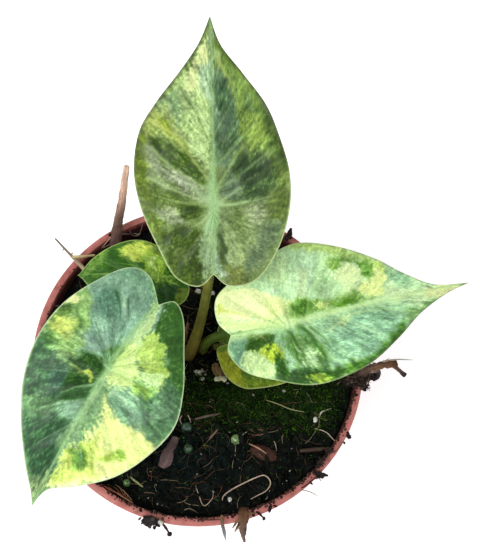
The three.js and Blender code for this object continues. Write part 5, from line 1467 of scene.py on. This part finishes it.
def make_moss(settings):
    """Tufts of short moss leaves in front of the small right leaf, and a few elsewhere."""
    rng = np.random.default_rng(33)
    wanted = counted(settings.moss)
    x, y = free_spots(wanted * 9, rng, 55)
    clump = fractal(columns(x * 0.3, y * 0.3, 0), 3, 35)
    keep = rng.random(len(x)) < np.clip(moss_share(x, y) * smoothstep(-0.45, 0.3, clump), 0, 1)
    x, y = x[keep][:wanted], y[keep][:wanted]
    count = len(x)
    height = rng.uniform(*MOSS_HEIGHTS, count) * (1 + 0.5 * clump[keep][:wanted])
    lean = rng.normal(0, 0.9, (count, 2))
    turn = rng.uniform(0, 2 * math.pi, count)
    width = rng.uniform(*MOSS_WIDTHS, count)
    across = np.stack([np.cos(turn), np.sin(turn), np.zeros(count)], -1) * width[:, None]
    foot = np.stack([x, y, soil_height(x, y) - 0.1], -1)
    rise = np.stack([lean[:, 0], lean[:, 1], np.ones(count)], -1) * height[:, None]
    thick = np.stack([-np.sin(turn), np.cos(turn), np.zeros(count)], -1) * (0.35 * width)[:, None]
    corners = [foot - across, foot + across, foot + thick * 2, foot + rise * 0.55 - across * 0.9,
               foot + rise * 0.55 + across * 0.9, foot + rise * 0.55 + thick * 2, foot + rise + thick]
    vertices = np.stack(corners, 1).reshape(-1, 3)
    base = np.array([(0, 1, 4), (0, 4, 3), (1, 2, 5), (1, 5, 4), (2, 0, 3), (2, 3, 5), (3, 4, 6), (4, 5, 6),
                     (5, 3, 6), (0, 2, 1)])
    faces = (base[None] + np.arange(count)[:, None, None] * 7).reshape(-1, 3)
    tints = np.array(MOSS_TINTS, float)[rng.integers(0, len(MOSS_TINTS), count)]
    tints = tints * np.exp(0.22 * rng.standard_normal((count, 1)))
    shade = np.array((0.6, 0.6, 0.6, 0.9, 0.9, 0.9, 1.2))[None, :, None]
    colours = np.clip(tints[:, None] * shade, 0, 255).reshape(-1, 3)
    build("moss", [dict(vertices=vertices, caps=faces, colours=colours)], "potting_mix",
          surface("Moss", 0.8, 2, 0.25, [(3, 0.04)], specular=0.12))


# Dead wood, bark and bits on the rim


def wood_path(key):
    spec = WOOD[key]
    return spec["path"] if "path" in spec else [seen_at(*pixel) for pixel in spec["pixels"]]


def wood_part(key, sides, rings, rough, grain, seed, knots=0.0):
    """A stick, twig or strip of bark from the table of wood, with fibres along it."""
    spec = WOOD[key]
    part = tube(wood_path(key), spec["radii"], sides, rings, spec.get("flatness", 1), rough, grain, seed)
    fibre = skin_noise(part, 3.2, part["length"] / 9, 3, seed + 2)
    patches = skin_noise(part, 1, part["length"] / 4, 3, seed + 4)
    tints = np.array(spec["tints"], float)
    stops = np.linspace(0, 1, len(tints))
    colour = np.stack([np.interp(part["run"], stops, channel) for channel in tints.T], -1)
    colour = colour * (1 + 0.36 * fibre + 0.24 * patches)[:, None]
    colour = mix(colour, (70, 50, 40), knots * smoothstep(0.15, 0.5, patches))
    part["colours"] = np.clip(colour, 0, 255)
    return part


def hairs(key, count, reach, tint, rng, start, end):
    """Torn fibres that lie along a piece of wood or bark and stand a little off it."""
    steps = 60
    middle = smooth_path(wood_path(key), steps)
    parts = []
    for index in range(count):
        at = int(steps * rng.uniform(start, end)) % (steps - 1)
        away = unit(rng.standard_normal(3)) * reach * rng.uniform(0.3, 1)
        along = (middle[at + 1] - middle[at]) * steps * rng.uniform(0.04, 0.12)
        away[2] = abs(away[2]) * 0.4
        points = [middle[at], middle[at] + 0.6 * away + along, middle[at] + away + 2 * along]
        radius = rng.uniform(0.07, 0.16)
        parts.append(strand(points, radius, 4, 7, np.array(tint) * rng.uniform(0.5, 1.3), index + 11))
    return parts


def dark_clump(corners, levels, count, reach, tint, rng):
    """Crumbs and short fibres matted together inside a triangle of the photograph."""
    parts = []
    for index in range(count):
        share = rng.dirichlet((1, 1, 1))
        px, py = share @ np.array(corners, float)
        spot = seen_at(px, py, rng.uniform(*levels))
        tone = np.array(tint) * rng.uniform(0.3, 1.5)
        if index % 3:
            sizes = rng.uniform(0.3, 1, 3) * reach
            parts.append(rough_lump(spot, sizes, rng.uniform(0, 360), tone, 1, 0.3, index))
        else:
            run = unit(rng.normal(0, 1, 3) * (1, 1, 0.25)) * reach * 2.2
            parts.append(strand([spot - run, spot + (0, 0, 0.4), spot + run], 0.14, 4, 7, tone * 1.5, index))
    return parts


def seen_strand(line, radius, sides, rings, colour, seed):
    """A thread whose points are given by pixel and height."""
    return strand([seen_at(*spot) for spot in line], radius, sides, rings, colour, seed, 0.3)


def make_dead_wood():
    rng = np.random.default_rng(44)
    weathered = surface("Weathered wood", 0.8, 2.2, 0.2, [(1.6, 0.16), (5, 0.05)], specular=0.22)
    stick = [wood_part("wooden_stick", 24, 100, 0.34, 2, 3, 0.5)]
    thorns = [wood_part("thorny_twig", 12, 70, 0.14, 2, 7, 0.2),
              wood_part("thorny_shoot", 10, 40, 0.14, 2, 8, 0.2)]
    middle = smooth_path(wood_path("thorny_twig"), THORN_STEPS)
    for index, at in enumerate(THORN_PLACES):
        away = unit(np.array((rng.normal(0, 1), rng.normal(0, 1), 0.5)))
        thorns.append(strand([middle[at], middle[at] + away * 0.8, middle[at] + away * 1.5], 0.24, 6, 8,
                             (160, 140, 110), index))
    hanging = [wood_part("hanging_long", 22, 110, 0.75, 1.1, 12, 0.3),
               wood_part("hanging_low", 14, 50, 0.25, 1.6, 13),
               wood_part("hanging_short", 14, 50, 0.35, 1.4, 14),
               wood_part("hanging_thread", 8, 30, 0.15, 2, 15)]
    hanging += hairs("hanging_long", 24, 2, (104, 84, 70), rng, 0.3, 0.9)
    hanging += dark_clump([(340, 381), (383, 362), (365, 390)], (101.8, 104.6), 220, 0.95, (52, 40, 34), rng)
    sheath = [wood_part("petiole_sheath", 20, 50, 0.2, 1.2, 20, 0.3)]
    sheath += hairs("petiole_sheath", 14, 1.6, (110, 76, 56), rng, 0.4, 0.98)
    shred = [wood_part("rim_shred", 26, 60, 0.3, 1.2, 25, 0.3), wood_part("grey_shred", 16, 40, 0.2, 1.6, 26)]
    for index, line in enumerate(SHRED_LINES):
        shred.append(seen_strand(line, SHRED_RADII[index % 3], 6, 14, SHRED_TINTS[index % 3], index + 60))
    for name, parts, node in (("weathered_stick", stick, "wooden_stick"), ("straw_twig", thorns, "thorny_twig"),
                              ("twigs_over_rim", hanging, "hanging_twigs"),
                              ("dry_sheath", sheath, "petiole_sheath"), ("bark_shred", shred, "rim_shred")):
        build(name, parts, node, weathered, hides=[node])


def rough_lump(middle, sizes, turn, tint, level, knock, seed, layers=0.0):
    """A weathered chip: a ball pressed to its sizes, knocked and split into layers."""
    base, triangles = ball(level)
    knocked = base * (1 + knock * fractal(base * 1.7 + seed, 3, seed))[:, None]
    knocked = np.sign(knocked) * abs(knocked) ** 0.8
    knocked[:, 2] += layers * np.round(3 * fractal(base * (1.2, 2.4, 1.2) + seed, 2, seed + 1)) / 3
    angle = math.radians(turn)
    x, y, z = (knocked * np.array(sizes)).T
    cosine, sine = math.cos(angle), math.sin(angle)
    vertices = np.stack([x * cosine - y * sine, x * sine + y * cosine, z], -1)
    grain = fractal(np.stack([base[:, 0] * 1.2, base[:, 1] * 6, base[:, 2] * 6], -1) + seed, 3, seed + 2)
    colours = np.array(tint, float) * (1 + 0.35 * grain)[:, None]
    return dict(vertices=vertices + middle, caps=triangles, colours=np.clip(colours, 0, 255))


def make_bark():
    bark = surface("Bark", 0.8, 1.2, 0.25, [(0.9, 0.2), (3, 0.08)], specular=0.28)
    chip = wood_part("bark_front", 32, 70, 0.3, 2.4, 31)
    build("bark_front_chip", [chip], "bark_front", bark, hides=["bark_front"])
    for index, (name, chip) in enumerate(CHIPS.items()):
        x, y = chip["at"]
        middle = (x, y, float(mix_height(x, y)) + chip["lift"])
        part = rough_lump(middle, chip["sizes"], chip["turn"], chip["colour"], 4, 0.4, 31 + index, 0.3)
        build(f"{name}_chip", [part], name, bark, hides=[name])
    rng = np.random.default_rng(51)
    middle = seen_at(*CLOD_PLACE)
    parts = [rough_lump(middle, (2.2, 1.7, 1.5), 10, (32, 30, 28), 4, 0.45, 90),
             seen_strand([(160, 521, 102.8), (166, 528, 101.5), (169, 533, 100)], 0.45, 8, 20, (34, 26, 26), 5),
             rough_lump(seen_at(169.5, 534, 99.8), (0.8, 0.8, 0.8), 0, (30, 24, 26), 2, 0.3, 8)]
    for _ in range(40):
        spot = middle + rng.normal(0, 1, 3) * (1.5, 0.9, 0.5)
        sizes, turn = rng.uniform(0.3, 0.8, 3), rng.uniform(0, 360)
        tint = CLOD_TINTS[int(rng.integers(3))]
        parts.append(rough_lump(spot, sizes, turn, tint, 1, 0.3, int(rng.integers(1000))))
    build("clod_on_rim", parts, "rim_clod", bark, hides=["rim_clod"])


def make_rim_bits():
    """Crumbs, lumps, threads and matted clumps that lie on the pot's lip."""
    rng = np.random.default_rng(63)
    spots, sizes, tints = [], [], []
    for centre, spread, count in RIM_CRUMBS:
        angle = np.radians(centre + spread * rng.standard_normal(count))
        reach = LIP_INNER + 0.55 * abs(rng.standard_normal(count))
        size = np.clip(0.2 * np.exp(0.5 * rng.standard_normal(count)), 0.1, 0.6)
        for a, r, s in zip(angle, np.minimum(reach, LIP_OUTER), size):
            spots.append((r * math.cos(a), r * math.sin(a), LIP_TOP + 0.3 * s))
            sizes.append(s * np.array((1.4, 0.9, 0.6)))
            tints.append(RIM_CRUMB_TINTS[int(rng.integers(3))])
    parts = [scatter_lumps(spots, sizes, tints, rng, 0, 0.35, 0.9)]
    spots = [seen_at(px, py, 102.1) for px, py, _, _ in RIM_LUMPS] + [seen_at(160, 523, 102.9)]
    sizes = [size * np.array((stretch, 0.85, 0.7)) for _, _, size, stretch in RIM_LUMPS] + [(1.1, 0.9, 0.9)]
    tints = [(32, 26, 26)] * len(RIM_LUMPS) + [(214, 210, 202)]
    parts.append(scatter_lumps(spots, sizes, tints, rng, 2, 0.35, 0.9))
    for index, (radius, tint, line) in enumerate(RIM_THREADS):
        parts.append(seen_strand(line, radius, 6, 20, tint, index + 70))
    for corners, top, count in RIM_CLUMPS:
        parts += dark_clump(corners, (LIP_TOP, top), count, 0.7, (42, 33, 29), rng)
    build("rim_bits", parts, "potting_mix", surface("Dry bits", 0.85, 2, 0.25, [(3, 0.1)], specular=0.15))


def dress_rootstock():
    looks = surface("Rootstock skin", 0.75, 0.6, 0.3, [(0.5, 0.2), (2, 0.06)], specular=0.3,
                    plain=(150, 116, 82))
    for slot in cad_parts["rootstock"].material_slots:
        slot.material = looks


# Stage


def make_floor():
    half = FLOOR_HALF
    data = bpy.data.meshes.new("floor")
    corners = [(-half, -half, 0), (half, -half, 0), (half, half, 0), (-half, half, 0)]
    data.from_pydata(corners, [], [(0, 1, 2, 3)])
    floor = bpy.data.objects.new("floor", data)
    bpy.context.scene.collection.objects.link(floor)
    wear(floor, surface("Pale floor", 0.8, 0.02, 0.004, [], specular=0.1, plain=(255, 255, 255), glow=0.36))


def make_lights(key, fill):
    scene = bpy.context.scene
    world = bpy.data.worlds.new("Studio")
    scene.world = world
    world.use_nodes = True
    sky = world.node_tree.nodes["Background"]
    sky.inputs["Color"].default_value = (1, 1, 1, 1)
    sky.inputs["Strength"].default_value = fill
    for name, place, width, share, tint in LIGHTS:
        light = bpy.data.lights.new(name, "AREA")
        light.size = width
        light.energy = key * share
        light.color = tint
        lamp = bpy.data.objects.new(name, light)
        lamp.location = place
        lamp.rotation_mode = "QUATERNION"
        lamp.rotation_quaternion = (Vector(LIGHT_TARGET) - Vector(place)).to_track_quat("-Z", "Y")
        scene.collection.objects.link(lamp)


def make_camera():
    scene = bpy.context.scene
    data = bpy.data.cameras.new("Camera")
    data.sensor_width = SENSOR_WIDTH
    data.lens = FOCAL_PIXELS / IMAGE_HEIGHT * SENSOR_WIDTH
    data.clip_start, data.clip_end = 0.01, 20
    camera = bpy.data.objects.new("Camera", data)
    axes = np.stack([CAMERA_RIGHT, CAMERA_UP, -CAMERA_FORWARD], -1)
    camera.matrix_world = Matrix.Translation(CAMERA_PLACE * MM) @ Matrix(axes.tolist()).to_4x4()
    scene.collection.objects.link(camera)
    scene.camera = camera


def make_stage(settings):
    bpy.context.scene.view_settings.view_transform = "Standard"
    make_floor()
    make_lights(settings.key, settings.fill)
    make_camera()


# The add-on


class LeafSettings(bpy.types.PropertyGroup):
    roughness: bpy.props.FloatProperty(name="Roughness", description="How dull the blades are", default=0.42,
                                       min=0, max=1, subtype="FACTOR")
    mottling: bpy.props.FloatProperty(name="Mottling", description="Strength of the fine light and dark grain",
                                      default=0.2, min=0, max=1, subtype="FACTOR")


class PotSettings(bpy.types.PropertyGroup):
    rim_tint: bpy.props.FloatVectorProperty(name="Plastic", description="Colour of the moulded plastic",
                                            default=(0.66, 0.345, 0.32), min=0, max=1, size=3,
                                            subtype="COLOR_GAMMA")
    roughness: bpy.props.FloatProperty(name="Roughness", description="How dull the plastic is", default=0.5,
                                       min=0, max=1, subtype="FACTOR")


class MixSettings(bpy.types.PropertyGroup):
    crumbs: bpy.props.IntProperty(name="Crumbs", description="How many crumbs cover the mix",
                                  default=7200, min=0)
    fibres: bpy.props.IntProperty(name="Fibres", description="How many loose fibres lie on the mix",
                                  default=650, min=0)
    perlite: bpy.props.IntProperty(name="Perlite", description="How many more perlite grains show",
                                   default=60, min=0)
    moss: bpy.props.IntProperty(name="Moss", description="How many moss leaves grow", default=10200, min=0)


class StageSettings(bpy.types.PropertyGroup):
    key: bpy.props.FloatProperty(name="Key light", description="Power of the overhead softbox", default=7,
                                 min=0, unit="POWER")
    fill: bpy.props.FloatProperty(name="Fill", description="Brightness of the surroundings", default=0.6, min=0)


class ALOCASIA_OT_pot(bpy.types.Operator):
    """Build the nursery pot with its rolled lip and drain holes"""
    bl_idname = "alocasia.pot"
    bl_label = "Pot"

    def execute(self, context):
        make_pot(context.scene.alocasia_pot)
        return {"FINISHED"}


class ALOCASIA_OT_mix_bed(bpy.types.Operator):
    """Build the bed of potting mix"""
    bl_idname = "alocasia.mix_bed"
    bl_label = "Potting mix"

    def execute(self, context):
        make_mix_bed()
        dress_rootstock()
        return {"FINISHED"}


class ALOCASIA_OT_loose_bits(bpy.types.Operator):
    """Scatter crumbs, fibres, roots, perlite and prills over the mix"""
    bl_idname = "alocasia.loose_bits"
    bl_label = "Loose bits"

    def execute(self, context):
        settings = context.scene.alocasia_mix
        make_crumbs(settings)
        make_fibres(settings)
        make_roots()
        make_grains(settings)
        return {"FINISHED"}


class ALOCASIA_OT_moss(bpy.types.Operator):
    """Grow the moss on the mix"""
    bl_idname = "alocasia.moss"
    bl_label = "Moss"

    def execute(self, context):
        make_moss(context.scene.alocasia_mix)
        return {"FINISHED"}


class ALOCASIA_OT_blades(bpy.types.Operator):
    """Build and colour the leaf blades"""
    bl_idname = "alocasia.blades"
    bl_label = "Leaf blades"

    def execute(self, context):
        make_blades(context.scene.alocasia_leaf)
        return {"FINISHED"}


class ALOCASIA_OT_stalks(bpy.types.Operator):
    """Build the leaf stalks"""
    bl_idname = "alocasia.stalks"
    bl_label = "Leaf stalks"

    def execute(self, context):
        make_petioles()
        return {"FINISHED"}


class ALOCASIA_OT_dead_wood(bpy.types.Operator):
    """Build the stick, the twigs, the dry sheath and the shred of bark"""
    bl_idname = "alocasia.dead_wood"
    bl_label = "Dead wood"

    def execute(self, context):
        make_dead_wood()
        return {"FINISHED"}


class ALOCASIA_OT_bark(bpy.types.Operator):
    """Build the bark chips, and the clod and crumbs on the rim"""
    bl_idname = "alocasia.bark"
    bl_label = "Bark and rim bits"

    def execute(self, context):
        make_bark()
        make_rim_bits()
        return {"FINISHED"}


class ALOCASIA_OT_stage(bpy.types.Operator):
    """Set up the floor, the lights and the camera"""
    bl_idname = "alocasia.stage"
    bl_label = "Stage"

    def execute(self, context):
        make_stage(context.scene.alocasia_stage)
        return {"FINISHED"}


OPERATORS = (ALOCASIA_OT_pot, ALOCASIA_OT_mix_bed, ALOCASIA_OT_loose_bits, ALOCASIA_OT_moss, ALOCASIA_OT_blades,
             ALOCASIA_OT_stalks, ALOCASIA_OT_dead_wood, ALOCASIA_OT_bark, ALOCASIA_OT_stage)
SETTINGS = {"alocasia_leaf": LeafSettings, "alocasia_pot": PotSettings, "alocasia_mix": MixSettings,
            "alocasia_stage": StageSettings}


class ALOCASIA_PT_panel(bpy.types.Panel):
    """Sizes, colours and build steps of the potted alocasia"""
    bl_idname = "ALOCASIA_PT_panel"
    bl_label = "Potted alocasia"
    bl_space_type = "VIEW_3D"
    bl_region_type = "UI"
    bl_category = "Alocasia"

    def draw(self, context):
        for name, group in SETTINGS.items():
            box = self.layout.box()
            for key in group.__annotations__:
                box.prop(getattr(context.scene, name), key)
        for operator in OPERATORS:
            self.layout.operator(operator.bl_idname)


def register():
    for group in SETTINGS.values():
        bpy.utils.register_class(group)
    for name, group in SETTINGS.items():
        setattr(bpy.types.Scene, name, bpy.props.PointerProperty(type=group))
    for operator in OPERATORS:
        bpy.utils.register_class(operator)
    bpy.utils.register_class(ALOCASIA_PT_panel)


def unregister():
    bpy.utils.unregister_class(ALOCASIA_PT_panel)
    for operator in reversed(OPERATORS):
        bpy.utils.unregister_class(operator)
    for name in SETTINGS:
        delattr(bpy.types.Scene, name)
    for group in SETTINGS.values():
        bpy.utils.unregister_class(group)


def main():
    register()
    for operator in OPERATORS:
        group, step = operator.bl_idname.split(".")
        getattr(getattr(bpy.ops, group), step)()


if __name__ == "__main__":
    main()
